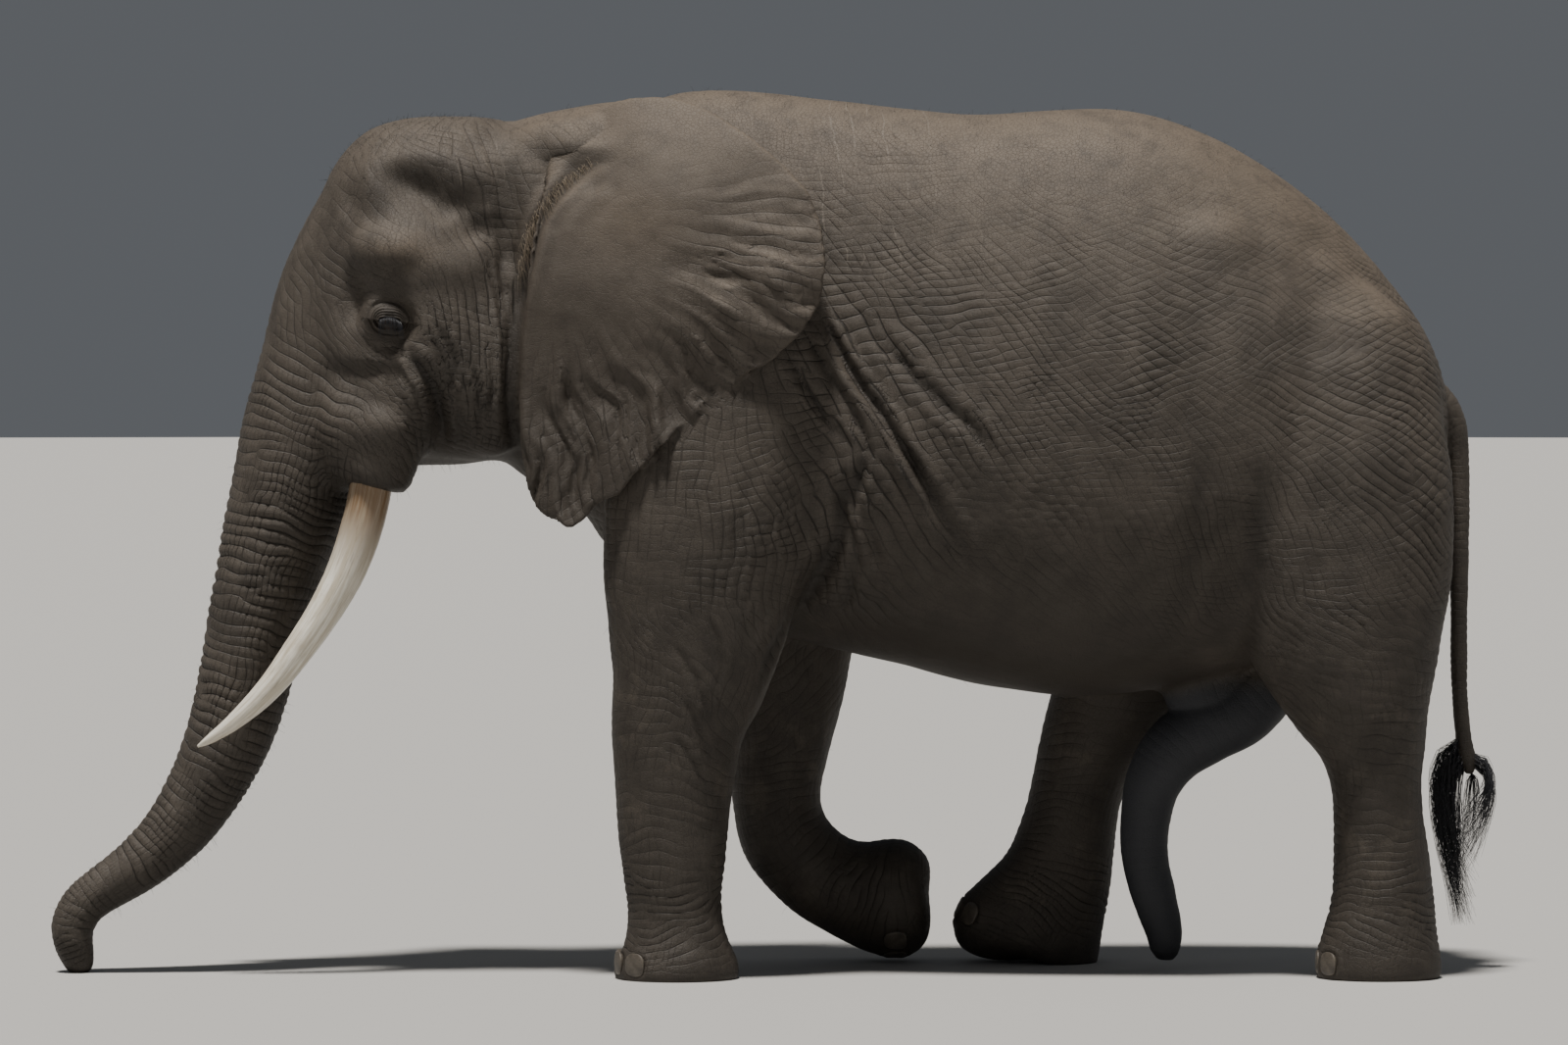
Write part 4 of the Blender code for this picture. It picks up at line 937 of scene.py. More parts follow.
# distance from the opening, depth
LID_LINES = ((0.008, 0.0040), (0.017, 0.0046), (0.027, 0.0048), (0.038, 0.0042))
LID_LINE_WIDTH = 0.0030
UPPER_LID_SEAT = 0.0380
local = head_local(points)
lid_share = np.zeros(len(points))
for side in (-1.0, 1.0):
    u = local[:, 0] - EYE_CENTRE[0]
    v = local[:, 2] - EYE_CENTRE[2] + 0.10 * u
    w = local[:, 1] * side - EYE_CENTRE[1]
    far = np.hypot(u, v)
    near = np.flatnonzero((far < 0.125) & (w > -0.15))
    u, v, w, far = u[near], v[near], w[near], far[near]
    flat = LID_OPENING / LID_HALF_LENGTH
    flat = flat + (0.92 - flat) * step_between(far, 0.030, 0.080)
    above = v > 0
    away = np.hypot(u * flat, np.where(above, v, v * 1.25)) - LID_OPENING
    ball = np.sqrt(np.clip(EYE_RADIUS ** 2 - far ** 2, 0, None))
    seat = np.where(above, UPPER_LID_SEAT, np.maximum(ball + 0.004, 0.004))
    rest = np.where(above, 0.016, -0.004)
    lid = seat + (rest - seat) * step_between(far, 0.026, 0.066)
    roll = sum(rise * bell(away, line, wide) for rise, line, wide in UPPER_LID_ROLLS)
    for line, deep in LID_LINES:
        roll -= deep * np.exp(-((away - line - 0.03 * u) / LID_LINE_WIDTH) ** 2)
    under = sum(rise * bell(away, line, wide) for rise, line, wide in LOWER_LID_ROLLS)
    side_share = step_between(v, -0.008, 0.006)
    lid += roll * side_share + under * (1 - side_share)
    inside = 1 - step_between(away, -0.0016, 0.0012)
    lid += (ball - 0.012 - lid) * inside
    share = 1 - step_between(far, 0.068, 0.115)
    local[near, 1] = side * (EYE_CENTRE[1] + w + (lid - w) * share)
    lid_share[near] = np.maximum(lid_share[near], 1 - step_between(far, 0.055, 0.095))
    points[near] = with_head(local[near])
move_points(skin_mesh, points)
depth *= 1 - lid_share
cross_depth *= 1 - lid_share


def put(mesh, name, values):
    """Keep a value or a vector for each vertex on the mesh, for its finish to use."""
    values = np.ascontiguousarray(values, dtype=np.float32)
    kind, key = ("FLOAT", "value") if values.ndim == 1 else ("FLOAT_VECTOR", "vector")
    mesh.attributes.new(name, kind, "POINT").data.foreach_set(key, values.ravel())


def patch_at(at_x, at_z, wide, high):
    """A soft patch on the side view: 1 at its middle and 0 far from it."""
    return np.exp(-((x - at_x) / wide) ** 2 - ((z - at_z) / high) ** 2)


up = normals[:, 2]
# Pale dust on faces that look up, high on the body. Painted highlight: pale patches on the brow and on the
# ear's upper front, where the top light falls, join the same mask.
dusty = step_between(up, 0.15, 0.85) * step_between(z, 1.9, 2.6) * (1 - 0.6 * head)
painted_highlight = patch_at(-1.36, 2.65, 0.14, 0.08)
painted_highlight += 0.7 * patch_at(-0.52, 2.76, 0.20, 0.14)
dusty = np.maximum(dusty, 0.80 * painted_highlight * (np.abs(y) > 0.1))
# Painted shade: darker on faces that look down, round the eyes, over the lower body and legs, on the outer
# face of the ear's lower part and round the sheath; less on the ears' inner faces.
shaded = step_between(-up, -0.15, 0.75) * (1 - 0.5 * leg) * (1 - 0.8 * ear)
shaded = np.maximum(shaded, np.clip(1.3 * bell(eye_far, 0.0, 0.054), 0, 1) * head)
low_body = (1 - step_between(z, 0.9, 2.2)) * step_between(x, -1.1, -0.8)
shaded = np.maximum(shaded, 0.62 * low_body * (1 - trunk))
facing_out = step_between(normals[:, 1] * np.sign(y), 0.0, 0.3)
shaded *= 1 - ear * (1 - facing_out)
shaded = np.maximum(shaded, 0.60 * ear * facing_out * (1 - step_between(z, 1.9, 2.6)))
shaded = np.maximum(shaded, patch_at(1.56, 1.02, 0.26, 0.13) * (out < 0.3))
mud_and_sheen_mask = leg * (1 - step_between(z, 0.9, 1.5)) * step_between(z, 0.02, 0.30)
mud_and_sheen_mask = np.maximum(mud_and_sheen_mask, 0.9 * patch_at(-0.42, 1.25, 0.20, 0.30))
# A pale patch high on the flank: partly dried mud, partly painted sheen of light on the hide's facets.
mud_and_sheen_mask = np.maximum(mud_and_sheen_mask, 0.9 * patch_at(1.46, 2.70, 0.17, 0.07))
scored = bell(x, 0.30, 0.42) * step_between(z, 2.42, 2.70) * (1 - ear) * (1 - head)
scored += 0.8 * patch_at(-1.06, 2.90, 0.16, 0.15) * (1 - ear)
# The mask "deep" carries painted shade for the deep single folds.
for name, values in {
    "folds": np.column_stack((cos_a, sin_a, np.clip(depth / 4, 0, 1.2))),
    "cross_folds": np.column_stack((cos_b, sin_b, np.clip(cross_depth / 3, 0, 1.2))),
    "ear": ear, "penis": penis, "dusty": dusty, "shaded": shaded, "mud_and_sheen_mask": mud_and_sheen_mask,
    "scored": scored, "deep": np.clip(folded / 0.013, 0, 1),
}.items():
    put(skin_mesh, name, values)

skin = new_object("hide", skin_mesh)
skin_mesh.shade_smooth()

# ------------------------------------------------------------------ the hide: finish
# Grey-brown skin with pale dust on the back and dried mud on the legs. Painted shade darkens creases,
# cracks and deep folds, belly, lower body and legs, lower ear and the skin round the eyes; painted
# highlight lightens the brow and the ear's upper front, and painted sheen a pale patch on the flank.
# Its finest cracks are too small for the mesh and show as relief in the finish.
MILLIMETRE = 0.001


class Nodes:
    """Adds nodes to a tree, with values set on their sockets and links made by name."""

    def __init__(self, tree):
        self.tree = tree

    def add(self, kind, settings=None, **sockets):
        node = self.tree.nodes.new(kind)
        for key, value in (settings or {}).items():
            setattr(node, key, value)
        for key, value in sockets.items():
            end = node.inputs[int(key[1:]) if key[1:].isdigit() else key.replace("_", " ")]
            if isinstance(value, bpy.types.NodeSocket):
                self.tree.links.new(value, end)
            else:
                end.default_value = value
        return node

    def math(self, operation, *values, clamp=False):
        sockets = {"i%d" % k: value for k, value in enumerate(values)}
        return self.add("ShaderNodeMath", {"operation": operation, "use_clamp": clamp}, **sockets).outputs[0]

    def times(self, first, second):
        return self.math("MULTIPLY", first, second)

    def plus(self, first, second):
        return self.math("ADD", first, second)

    def mix(self, share, low, high):
        node = self.add("ShaderNodeMix", {"data_type": "RGBA"}, i0=share, i6=low, i7=high)
        return node.outputs[2]

    def rise(self, value, low, high, start=0.0, end=1.0):
        node = self.add("ShaderNodeMapRange", {"interpolation_type": "SMOOTHSTEP"}, Value=value,
                        From_Min=low, From_Max=high, To_Min=start, To_Max=end)
        return node.outputs[0]

    def noise(self, where, scale, detail=3.0, rough=0.5):
        node = self.add("ShaderNodeTexNoise", Vector=where, Scale=scale, Detail=detail, Roughness=rough)
        return node.outputs["Fac"]

    def kept(self, name, socket="Fac"):
        return self.add("ShaderNodeAttribute", {"attribute_name": name}).outputs[socket]

    def place(self):
        return self.add("ShaderNodeTexCoord").outputs["Object"]

    def surface(self, shader, colour, relief=None, high=0.0, **how):
        """Give the shader its colour and a relief `high` metres to each unit."""
        self.tree.links.new(colour, shader.inputs["Base Color"])
        if relief is not None:
            bump = self.add("ShaderNodeBump", Height=relief, Distance=high, **how)
            self.tree.links.new(bump.outputs["Normal"], shader.inputs["Normal"])


def finish(name, **settings):
    """A new material; its tree's nodes, its Principled shader, with plain values set."""
    material = bpy.data.materials.new(name)
    material.use_nodes = True
    shader = material.node_tree.nodes["Principled BSDF"]
    for key, value in settings.items():
        shader.inputs[key.replace("_", " ")].default_value = value
    return material, Nodes(material.node_tree), shader


hide, n, shader = finish("elephant_hide", Roughness=0.62, Specular_IOR_Level=0.35)
place = n.place()


def crease_of(name, width):
    """1 in the bottom of a fold and 0 beside it, from the fold's kept cosine and sine."""
    parts = n.add("ShaderNodeSeparateXYZ", Vector=n.kept(name, "Vector")).outputs
    turn = n.math("ABSOLUTE", n.math("ARCTAN2", parts[1], parts[0]))
    return n.times(n.rise(turn, width, 0.0), parts[2])


ragged = n.noise(place, 60.0)
crease = n.math("MAXIMUM", crease_of("folds", 0.66), crease_of("cross_folds", 0.58), clamp=True)
cells = n.add("ShaderNodeTexVoronoi", {"feature": "DISTANCE_TO_EDGE"}, Vector=place, Scale=70.0)
crack = n.rise(cells.outputs["Distance"], 0.10, 0.0)
small = n.add("ShaderNodeTexVoronoi", {"feature": "DISTANCE_TO_EDGE"}, Vector=place, Scale=190.0)
fine = n.rise(small.outputs["Distance"], 0.14, 0.0)
ear_share = n.kept("ear")
rough_skin = n.math("SUBTRACT", 1.0, n.times(ear_share, 0.7))

mottle = n.noise(place, 3.2, 5.0, 0.6)
stain = n.noise(place, 13.0, 5.0, 0.62)
speck = n.noise(place, 75.0, 3.0, 0.6)
colour = n.mix(n.rise(mottle, 0.35, 0.65), (0.046, 0.038, 0.030, 1), (0.070, 0.058, 0.046, 1))
colour = n.mix(n.times(ear_share, 0.6), colour, (0.078, 0.063, 0.049, 1))
colour = n.mix(n.times(n.rise(stain, 0.42, 0.70), 0.40), colour, (0.098, 0.082, 0.066, 1))
colour = n.mix(n.times(n.rise(stain, 0.50, 0.25), 0.30), colour, (0.034, 0.027, 0.021, 1))
# Pale dust on the back, and painted highlight on the brow and the ear's upper front, from the same mask.
dust_and_highlight = n.times(n.kept("dusty"), n.rise(stain, 0.20, 0.62, 0.40, 0.90))
colour = n.mix(dust_and_highlight, colour, (0.135, 0.106, 0.078, 1))
grit = n.times(n.kept("dusty"), n.rise(speck, 0.64, 0.74))
colour = n.mix(n.times(grit, 0.7), colour, (0.060, 0.044, 0.031, 1))
# Pale dried mud on the legs, and painted sheen on the pale patch high on the flank.
mud_and_sheen = n.times(n.kept("mud_and_sheen_mask"), n.rise(n.noise(place, 5.5, 6.0, 0.68), 0.54, 0.66))
colour = n.mix(n.times(mud_and_sheen, 0.60), colour, (0.130, 0.108, 0.083, 1))

# Long thin pale scratches: one to each strip of the shoulder, each in its own place.
way = n.add("ShaderNodeSeparateXYZ", Vector=place).outputs
strip = n.times(n.plus(way[0], n.times(way[2], 0.10)), 15.0)
strip = n.plus(strip, n.times(n.noise(place, 4.5, 3.0), 1.6))
strip_number = n.math("FLOOR", strip)
chance = n.add("ShaderNodeTexWhiteNoise", {"noise_dimensions": "1D"}, W=strip_number).outputs["Value"]
off_line = n.math("SUBTRACT", n.math("FRACT", strip), n.plus(n.times(chance, 0.6), 0.2))
line = n.rise(n.math("ABSOLUTE", off_line), 0.062, 0.012)
span = n.add("ShaderNodeCombineXYZ",
             X=n.times(strip_number, 3.7), Z=n.times(way[2], 2.6))
score = n.times(line, n.rise(n.noise(span.outputs[0], 1.0, 1.0), 0.44, 0.58))
score = n.times(score, n.rise(n.noise(place, 16.0, 2.0), 0.34, 0.56))
colour = n.mix(n.times(score, n.times(n.kept("scored"), 0.60)), colour,
               (0.185, 0.158, 0.130, 1))
# Painted shade from the kept mask: belly, lower body and legs, lower ear, sheath and the skin round the
# eyes.
shade = n.times(n.kept("shaded"), 0.80)
colour = n.mix(shade, colour, (0.020, 0.016, 0.012, 1))
# Painted shade: darker in the deep single folds, in the bottoms of the wrinkles and in the fine cracks.
colour = n.mix(n.times(n.kept("deep"), 0.50), colour, (0.012, 0.010, 0.008, 1))
colour = n.mix(n.times(crease, 0.75), colour, (0.009, 0.007, 0.005, 1))
crack_share = n.times(n.times(crack, rough_skin), 0.30)
colour = n.mix(crack_share, colour, (0.017, 0.013, 0.010, 1))
penis_skin = n.mix(n.rise(mottle, 0.3, 0.7), (0.028, 0.030, 0.035, 1), (0.038, 0.040, 0.046, 1))
# Painted shade on the penis and sheath, from the same shade mask.
penis_skin = n.mix(n.times(n.kept("shaded"), 0.55), penis_skin, (0.015, 0.015, 0.017, 1))
colour = n.mix(n.kept("penis"), colour, penis_skin)

relief = n.times(crease, -2.6)            # in millimetres
for detail, high in ((crack, -0.55), (fine, -0.28), (ragged, 0.8)):
    relief = n.plus(relief, n.times(detail, high))
n.surface(shader, colour, relief, MILLIMETRE)
skin_mesh.materials.append(hide)

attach(skin, "root")
FLESH_NODES = (
    "torso", "neck", "head", "lower_jaw", "trunk", "ear_left", "ear_right", "foreleg_left",
    "foreleg_right", "hindleg_left", "hindleg_right", "tail", "penis",
)
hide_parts(*FLESH_NODES)

# ------------------------------------------------------------------ eyes
# Brown eyes with a round dark pupil, faintly shiny. Each is a ball with a slight bulge in
# front, set deep between the lids and turned to look out and ahead.
CORNEA_RISE = 0.0022
CORNEA_REACH = 0.012
eye_finish, n, shader = finish("eye", Roughness=0.28, Coat_Weight=0.03, Coat_Roughness=0.05,
                               Specular_IOR_Level=0.12)
place = n.place()
parts = n.add("ShaderNodeSeparateXYZ", Vector=place).outputs
off_axis = n.add("ShaderNodeVectorMath", {"operation": "LENGTH"},
                 i0=n.add("ShaderNodeCombineXYZ", X=parts[0], Y=parts[1]).outputs[0]).outputs["Value"]
streaks = n.noise(place, 260.0, 2.0)
iris = n.mix(streaks, (0.022, 0.010, 0.004, 1), (0.080, 0.038, 0.015, 1))
iris = n.mix(n.rise(off_axis, 0.0058, 0.0066), (0.003, 0.003, 0.003, 1), iris)
ball_colour = n.mix(n.rise(off_axis, 0.0125, 0.0155), iris, (0.030, 0.020, 0.015, 1))
n.surface(shader, ball_colour)
for name, side in (("eye_left", -1), ("eye_right", 1)):
    bm = bmesh.new()
    bmesh.ops.create_uvsphere(bm, u_segments=64, v_segments=40, radius=EYE_RADIUS)
    for vertex in bm.verts:
        if vertex.co.z > 0:
            reach = math.hypot(vertex.co.x, vertex.co.y)
            vertex.co.z += CORNEA_RISE * math.exp(-(reach / CORNEA_REACH) ** 2)
    ball_mesh = mesh_of(bm, name)
    ball_mesh.shade_smooth()
    ball_mesh.materials.append(eye_finish)
    ball = new_object(name + "_ball", ball_mesh)
    looking = Vector(with_head(HEAD_PIVOT + (-0.22, side, -0.10)) - HEAD_PIVOT)
    ball.rotation_euler = looking.to_track_quat("Z", "Y").to_euler()
    ball.location = eye_place(side)
    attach(ball, "root")
    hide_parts(name)

# ------------------------------------------------------------------ tusks
# Solid ivory, cream and slightly fluted, stained brown where it leaves the socket. Each
# tusk is lofted along its curve, with its root inside the socket.
# x, distance from the middle, z, radius
TUSK = (
    (-1.462, 0.270, 1.90, 0.074), (-1.486, 0.272, 1.735, 0.0765), (-1.519, 0.276, 1.604, 0.0755),
    (-1.562, 0.281, 1.486, 0.071), (-1.608, 0.285, 1.393, 0.066), (-1.668, 0.287, 1.292, 0.060),
    (-1.739, 0.286, 1.190, 0.055), (-1.814, 0.281, 1.088, 0.049), (-1.893, 0.273, 1.000, 0.041),
    (-1.985, 0.262, 0.918, 0.029), (-2.060, 0.252, 0.864, 0.017), (-2.105, 0.246, 0.836, 0.004),
)
TUSK_FLUTE = 0.0016
TUSK_NICK = 0.0006
ivory, n, shader = finish("ivory", Roughness=0.34)
place = n.place()
grain = n.kept("grain", "Vector")
long_streak = n.noise(grain, 1.0, 5.0, 0.6)
blotch = n.noise(place, 9.0, 4.0, 0.6)
ivory_colour = n.mix(n.rise(long_streak, 0.35, 0.68), (0.56, 0.50, 0.39, 1), (0.86, 0.82, 0.72, 1))
yellowed = n.times(n.rise(blotch, 0.52, 0.75), 0.35)
ivory_colour = n.mix(yellowed, ivory_colour, (0.42, 0.33, 0.22, 1))
base_stain = n.times(n.rise(n.kept("travelled"), 0.52, 0.17), n.rise(long_streak, 0.25, 0.60, 0.5))
ivory_colour = n.mix(base_stain, ivory_colour, (0.20, 0.125, 0.065, 1))
scratches = n.rise(n.noise(grain, 3.6, 2.0), 0.60, 0.72)
ivory_colour = n.mix(n.times(scratches, 0.45), ivory_colour, (0.30, 0.24, 0.17, 1))
tusk_relief = n.plus(n.times(long_streak, 0.8), n.times(scratches, -0.5))
n.surface(shader, ivory_colour, tusk_relief, 1.2 * MILLIMETRE)
for name, side in (("tusk_left", -1.0), ("tusk_right", 1.0)):
    bm = bmesh.new()
    loft(bm, round_rows(TUSK), side=side, steps=10, sides=64)
    tusk_mesh = mesh_of(bm, name)
    points = mesh_points(tusk_mesh).astype(float)
    normals = mesh_normals(tusk_mesh)
    travelled, heading, near = along_path(points, round_rows(TUSK), side)
    out_of_axis = unit(normals - heading * (normals * heading).sum(axis=1)[:, None])
    ring_turn = np.arctan2(out_of_axis[:, 1], out_of_axis[:, 0])
    circle = np.column_stack((np.cos(ring_turn), np.sin(ring_turn)))
    flute = swell(np.column_stack((circle * 3.2, travelled * 2.0)), 70)
    slim = TUSK_FLUTE * flute + TUSK_NICK * swell(points * 42.0, 71)
    move_points(tusk_mesh, with_head(points + normals * slim[:, None]))
    put(tusk_mesh, "travelled", travelled)
    put(tusk_mesh, "grain", np.column_stack((circle * 6.0, travelled * 4.5)))
    tusk_mesh.shade_smooth()
    tusk_mesh.materials.append(ivory)
    tusk = new_object(name + "_ivory", tusk_mesh)
    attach(tusk, "root")
    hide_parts(name)

# ------------------------------------------------------------------ toenails
# Grey-brown horn plates, faintly ridged up and down, set in the rims of the feet. Each is
# a squared ball made flat on its outer side.
horn, n, shader = finish("toenail", Roughness=0.5)
place = n.place()
worn = n.noise(place, 30.0, 4.0, 0.6)
fine_lines = n.noise(n.add("ShaderNodeVectorMath", {"operation": "MULTIPLY"}, i0=place,
                           i1=(60.0, 60.0, 420.0)).outputs[0], 1.0, 3.0)
horn_colour = n.mix(n.rise(worn, 0.35, 0.65), (0.062, 0.052, 0.041, 1), (0.102, 0.087, 0.068, 1))
horn_colour = n.mix(n.rise(fine_lines, 0.52, 0.70), horn_colour, (0.045, 0.036, 0.028, 1))
n.surface(shader, horn_colour, fine_lines, MILLIMETRE, Strength=0.8)
for foot, (*_, count) in FEET.items():
    for number in range(count):
        bm = bmesh.new()
        bmesh.ops.create_icosphere(bm, subdivisions=4, radius=1.0)
        for vertex in bm.verts:
            out_y, out_z = abs(vertex.co.y) ** 0.80, abs(vertex.co.z) ** (0.85 if vertex.co.z > 0 else 0.55)
            vertex.co.y = math.copysign(out_y, vertex.co.y)
            vertex.co.z = math.copysign(out_z, vertex.co.z)
            vertex.co.x *= 1.0 + 0.05 * math.sin(vertex.co.z * 9.0 + number)
            vertex.co.x *= 0.32 if vertex.co.x > 0 else 1.0
            vertex.co = Vector(NAIL_SIZE) * vertex.co * NAIL_FIT
        nail_mesh = mesh_of(bm, "nail")
        nail_mesh.shade_smooth()
        nail_mesh.materials.append(horn)
        nail = new_object(f"horn_{foot}_{number + 1}", nail_mesh)
        nail.matrix_world = nail_place(foot, number)
        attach(nail, "root")
        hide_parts(f"nail_{foot}_{number + 1}")

# ------------------------------------------------------------------ hairs
# Stiff black hairs down the tail's end, lashes on the upper lids, tan hairs before the ears,
# and a few short bristles on crown, back, trunk and chin. Each is a thin tapering rod of horn.
TUFT_THICK = 0.0010
LASH_THICK = 0.0009
EAR_HAIR_THICK = 0.0005
BRISTLE_THICK = 0.00055
TUFT_LOWEST = 0.155
rng = np.random.default_rng(21)
hair, n, shader = finish("hair", Roughness=0.42)
place = n.place()
hair_colour = n.mix(n.noise(place, 40.0, 2.0), (0.006, 0.006, 0.008, 1), (0.030, 0.031, 0.036, 1))
n.surface(shader, hair_colour)


def strands(name, paths, thick, places, made_of=hair):
    """Three-sided hairs that taper along the given paths. Each is given UVs on a
    small patch at its root's place on the unrolled skin."""
    count, rings = paths.shape[:2]
    heading = np.gradient(paths, axis=1)
    heading /= np.linalg.norm(heading, axis=2, keepdims=True)
    over = np.cross(heading, (0.31, 0.94, 0.14))
    over /= np.linalg.norm(over, axis=2, keepdims=True)
    beside = np.cross(heading, over)
    taper = np.linspace(1.0, 0.3, rings)[None, :, None, None] * np.reshape(thick, (-1, 1, 1, 1))
    turn = np.arange(3) * 2 * math.pi / 3
    rim = over[:, :, None] * np.cos(turn)[:, None] + beside[:, :, None] * np.sin(turn)[:, None]
    corners = (paths[:, :, None] + rim * taper).reshape(-1, 3)
    number = np.arange(count * rings * 3).reshape(count, rings, 3)
    after = np.roll(number, -1, axis=2)
    walls = np.stack((number[:, :-1], after[:, :-1], after[:, 1:], number[:, 1:]), axis=-1)
    ends = np.concatenate((number[:, 0, ::-1], number[:, -1]))
    mesh = bpy.data.meshes.new(name)
    mesh.from_pydata(corners.tolist(), [], walls.reshape(-1, 4).tolist() + ends.tolist())
    patch = np.zeros((count, rings, 3, 2))
    patch[..., 0] = places[:, 0, None, None] + 0.0015 * np.cos(turn)
    patch[..., 1] = places[:, 1, None, None] + 0.003 * np.linspace(0, 1, rings)[:, None]
    corner_of = np.empty(len(mesh.loops), dtype=np.int32)
    mesh.loops.foreach_get("vertex_index", corner_of)
    layer = mesh.uv_layers.new(name="OFBake")
    layer.data.foreach_set("uv", patch.reshape(-1, 2)[corner_of].astype(np.float32).ravel())
    mesh.materials.append(made_of)
    mesh.shade_smooth()
    piece = new_object(name, mesh)
    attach(piece, "root")
    return piece


# The tail's tuft.
TUFT_HAIRS = 760
t = np.linspace(0, 1, 9)[None, :]
start = rng.random(TUFT_HAIRS)
kind = rng.choice(3, TUFT_HAIRS, p=(0.70, 0.23, 0.07))       # near lock, far loop, straight down
row = np.choose(kind, (-1.0, 1.0, 0.3))
root_z = np.choose(kind, (0.725 + 0.125 * start, 0.735 + 0.06 * start, 0.712 + 0.01 * start))
root_x = np.interp(root_z, (0.715, 0.76, 0.87), (2.546, 2.538, 2.518)) + row * 0.020
root_y = rng.normal(0, 0.012, TUFT_HAIRS)
share = rng.random(TUFT_HAIRS)
long = np.choose(kind, (0.62, 0.39, 0.34)) * (0.45 + 0.55 * share)
long += np.where(kind == 0, root_z - 0.78, 0.0)
wide = rng.random(TUFT_HAIRS)
bow = np.choose(kind, (-0.004 - 0.100 * wide ** 0.62, 0.050 + 0.026 * wide, 0.05 * (wide - 0.5)))
lock = rng.integers(0, 16, TUFT_HAIRS)
bow += rng.normal(0, 0.007, 16)[lock]
drift = np.choose(kind, (0.000, -0.026, -0.030))
drift += rng.normal(0, 0.016, 16)[lock] + rng.normal(0, 0.006, TUFT_HAIRS)
over = rng.normal(0, 0.024, TUFT_HAIRS)
path_x = root_x[:, None] + bow[:, None] * np.sin(math.pi * t ** 0.65) + drift[:, None] * t ** 2
path_y = root_y[:, None] + over[:, None] * np.sin(math.pi * t * 0.75) + rng.normal(0, 0.0015, path_x.shape)
path_z = root_z[:, None] + 0.010 * np.sin(math.pi * np.clip(t * 4, 0, 1)) - long[:, None] * t
tuft_paths = np.stack((path_x, path_y, np.maximum(path_z, TUFT_LOWEST)), axis=-1)
tuft_places = np.column_stack((0.2 + 0.6 * start, 0.5 + 0.2 * row + 0.1 * rng.random(TUFT_HAIRS)))
tuft = strands("tail_hairs", tuft_paths, TUFT_THICK, tuft_places)
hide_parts("tail_tuft")


def unrolled(roots):
    """Where a place on the skin lies on the skin slit along the belly and laid flat."""
    turn = np.arctan2(roots[:, 1], roots[:, 2] - 1.9)
    return np.column_stack(((roots[:, 0] + 2.75) / 5.5, 0.5 + turn / (2 * math.pi) * 0.96))


# Lashes.
LASHES = 64
lash_paths = []
for side in (-1.0, 1.0):
    along = np.linspace(-0.85, 0.95, LASHES) + rng.normal(0, 0.02, LASHES)
    root_u = along * LID_HALF_LENGTH
    root_v = LID_OPENING * (1 - along ** 2) - 0.10 * root_u
    ball = 0.040 - 0.016 * along ** 2
    reach = (0.056 + 0.030 * rng.random(LASHES))[:, None]
    t = np.linspace(0, 1, 6)[None, :]
    path_u = root_u[:, None] + (along * 0.010 + 0.002)[:, None] * t
    path_w = ball[:, None] + reach * (0.55 * t - 0.32 * t ** 2)
    path_v = root_v[:, None] - reach * (0.25 * t + 0.62 * t ** 2)
    flat = np.stack((EYE_CENTRE[0] + path_u, side * (EYE_CENTRE[1] + path_w), EYE_CENTRE[2] + path_v),
                    axis=-1)
    lash_paths.append(with_head(flat.reshape(-1, 3)).reshape(flat.shape))
lash_paths = np.concatenate(lash_paths)
strands("lashes", lash_paths, LASH_THICK, unrolled(lash_paths[:, 0]))

# Tan hairs that hang in the crease before each ear.
EAR_HAIRS = 300
tan_hair, n, shader = finish("tan_hair", Roughness=0.5)
tan_colour = n.mix(n.noise(n.place(), 40.0, 2.0), (0.120, 0.090, 0.060, 1), (0.280, 0.225, 0.160, 1))
n.surface(shader, tan_colour)
skin_tree = BVHTree.FromPolygons([v.co for v in skin_mesh.vertices],
                                 [p.vertices for p in skin_mesh.polygons])
crease_path = through(EAR_ROOT_FOLDS[0][0], 12)[12:60]
ear_hair_paths = []
for side in (-1.0, 1.0):
    for path_x, path_z in crease_path[rng.integers(0, len(crease_path), EAR_HAIRS)]:
        root = Vector((path_x - 0.030 + rng.normal(0, 0.010), 2.0 * side, path_z + rng.normal(0, 0.012)))
        root = skin_tree.ray_cast(root, Vector((0.0, -side, 0.0)))[0]
        reach = 0.025 + 0.075 * rng.random()
        t = np.linspace(0, 1, 5)[:, None]
        lean = np.array((0.35 + 0.4 * rng.normal(), side * (0.35 + 0.25 * rng.random()),
                         -0.6 + 0.3 * rng.normal()))
        ear_hair_paths.append(np.array(root) + reach * (lean * t + (0.0, -0.15 * side, -0.75) * t ** 2))
ear_hair_paths = np.array(ear_hair_paths)
strands("ear_hairs", ear_hair_paths, EAR_HAIR_THICK, unrolled(ear_hair_paths[:, 0]), tan_hair)

# Bristles.
skin_points = mesh_points(skin_mesh).astype(float)
skin_normals = mesh_normals(skin_mesh).astype(float)
BRISTLES = 2600
crown = step_between(-skin_points[:, 0], 0.95, 1.25) * step_between(skin_points[:, 2], 2.75, 3.0)
ridge = step_between(skin_normals[:, 2], 0.4, 0.8) * step_between(skin_points[:, 2], 2.4, 2.9) * 0.35
chin = step_between(-skin_points[:, 0], 0.95, 1.2) * step_between(-skin_normals[:, 2], 0.3, 0.8) * 0.5
chance = (crown + ridge + chin + trunk * 0.12 + 0.015) * (1 - ear) * (1 - penis) * (1 - lid_share)
chance *= step_between(skin_points[:, 2], 0.10, 0.30)
chosen = rng.choice(len(chance), BRISTLES, replace=False, p=chance / chance.sum())
roots, up = skin_points[chosen], skin_normals[chosen]
lean = unit(up + 0.55 * rng.normal(size=roots.shape) + (0.35, 0.0, -0.1))
reach = (0.014 + 0.022 * rng.random(BRISTLES))[:, None, None]
t = np.linspace(0, 1, 4)[None, :, None]
bristle_paths = roots[:, None] - up[:, None] * 0.002 + lean[:, None] * reach * t
bristle_paths += (0, 0, -0.25) * reach * t ** 2
strands("bristles", bristle_paths, BRISTLE_THICK, unrolled(roots))

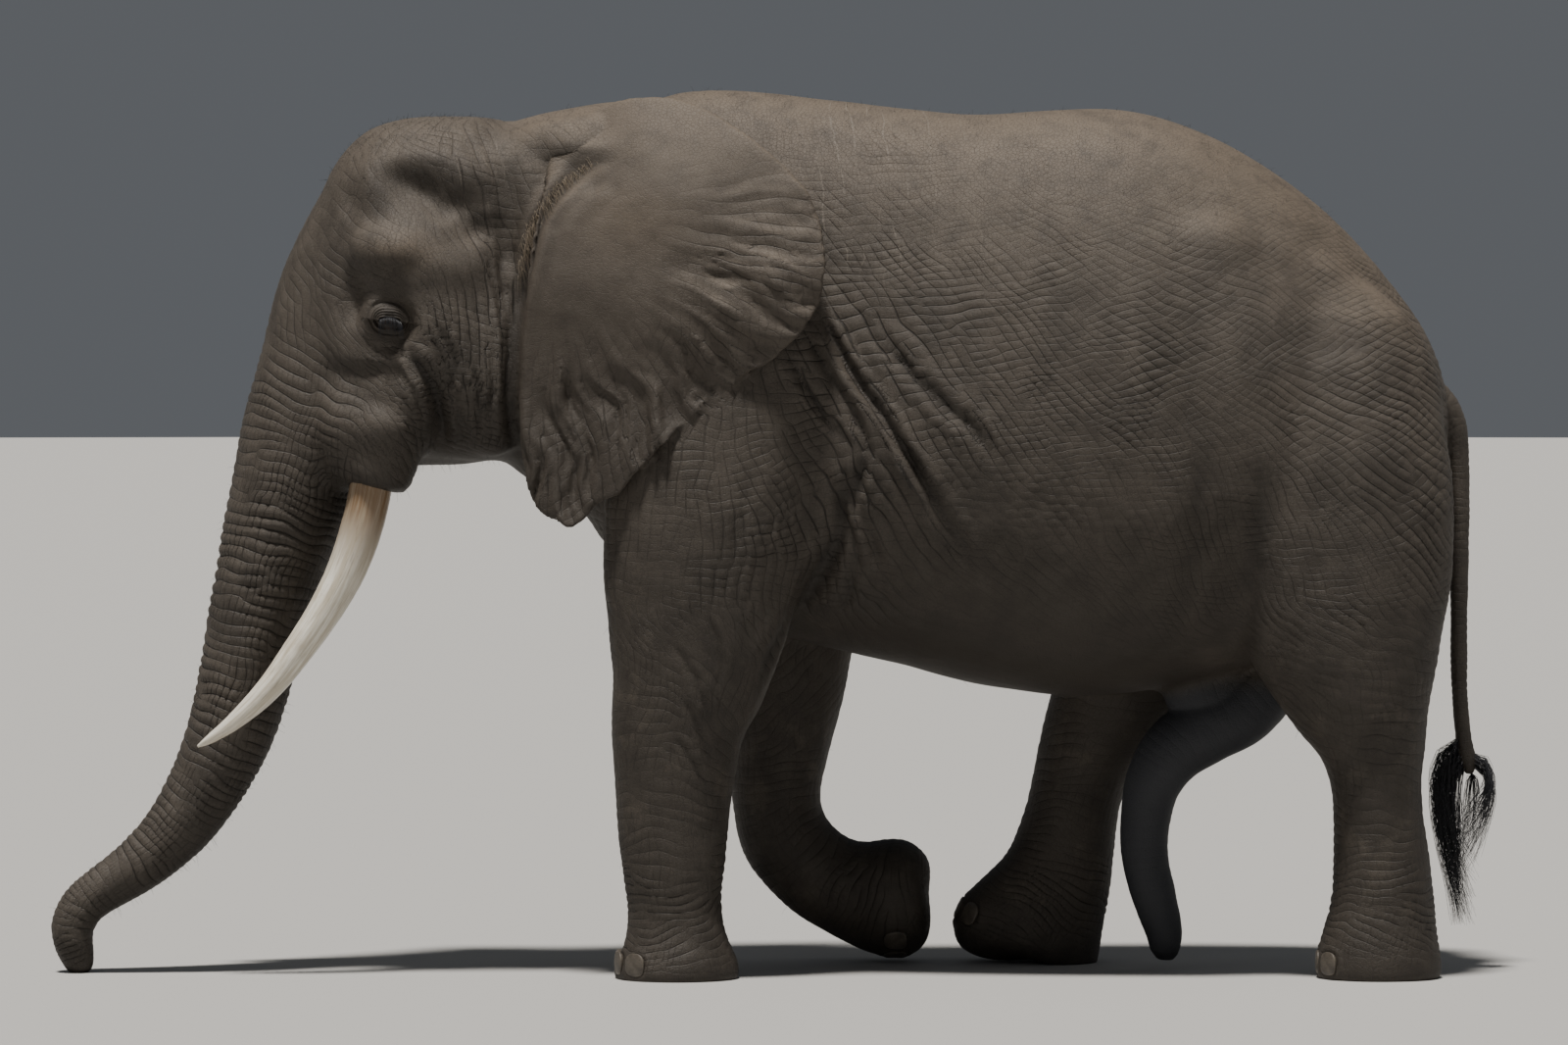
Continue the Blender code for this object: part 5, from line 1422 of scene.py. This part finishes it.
# ------------------------------------------------------------------ the room
# A pale floor just under the soles, soft light from above, in front and behind, and a
# long lens from far off.
FLOOR_RADIUS = 90.0
FLOOR_GAP = 0.0005
SKY_STRENGTH = 0.140
floor_bm = bmesh.new()
bmesh.ops.create_circle(floor_bm, cap_ends=True, segments=96, radius=FLOOR_RADIUS)
floor = new_object("floor", mesh_of(floor_bm, "floor"))
floor_finish, *_ = finish("pale_floor", Base_Color=(0.42, 0.412, 0.395, 1.0), Roughness=0.8)
floor.data.materials.append(floor_finish)
floor.location.z = -FLOOR_GAP

world = bpy.data.worlds.new("studio")
bpy.context.scene.world = world
world.use_nodes = True
world.node_tree.nodes["Background"].inputs["Color"].default_value = (0.78, 0.83, 0.90, 1.0)
world.node_tree.nodes["Background"].inputs["Strength"].default_value = SKY_STRENGTH


def soft_light(name, kind, place, width, power):
    """A lamp aimed at the animal's middle; `width` is its angle or its size."""
    light = bpy.data.lights.new(name, kind)
    light.energy = power
    light.color = (1.0, 0.965, 0.92)
    if kind == "SUN":
        light.angle = width
    else:
        light.shape = "DISK"
        light.size = width
    lamp = bpy.data.objects.new(name, light)
    bpy.context.scene.collection.objects.link(lamp)
    lamp.location = place
    lamp.rotation_euler = (Vector((0.0, 0.0, 1.6)) - Vector(place)).to_track_quat("-Z", "Y").to_euler()


soft_light("overhead", "SUN", (-1.1, -2.3, 12.4), 0.12, 5.5)
soft_light("front_fill", "AREA", (-8.0, -8.0, 5.0), 5.0, 20.0)
soft_light("back_fill", "AREA", (9.0, 3.5, 4.0), 5.0, 24.0)

CAMERA_FAR = 30.0
CAMERA_HIGH = 2.6
FRAME_WIDE = 5.73            # metres across the view at the animal's middle
AIM = Vector((0.036, 0.0, 1.636))
camera = bpy.data.objects.new("camera", bpy.data.cameras.new("camera"))
bpy.context.scene.collection.objects.link(camera)
camera.location = (AIM.x, -CAMERA_FAR, CAMERA_HIGH)
sight = AIM - camera.location
camera.rotation_euler = sight.to_track_quat("-Z", "Y").to_euler()
camera.data.sensor_width = 36.0
camera.data.lens = 36.0 * sight.length / FRAME_WIDE
camera.data.clip_end = 400.0
bpy.context.scene.camera = camera
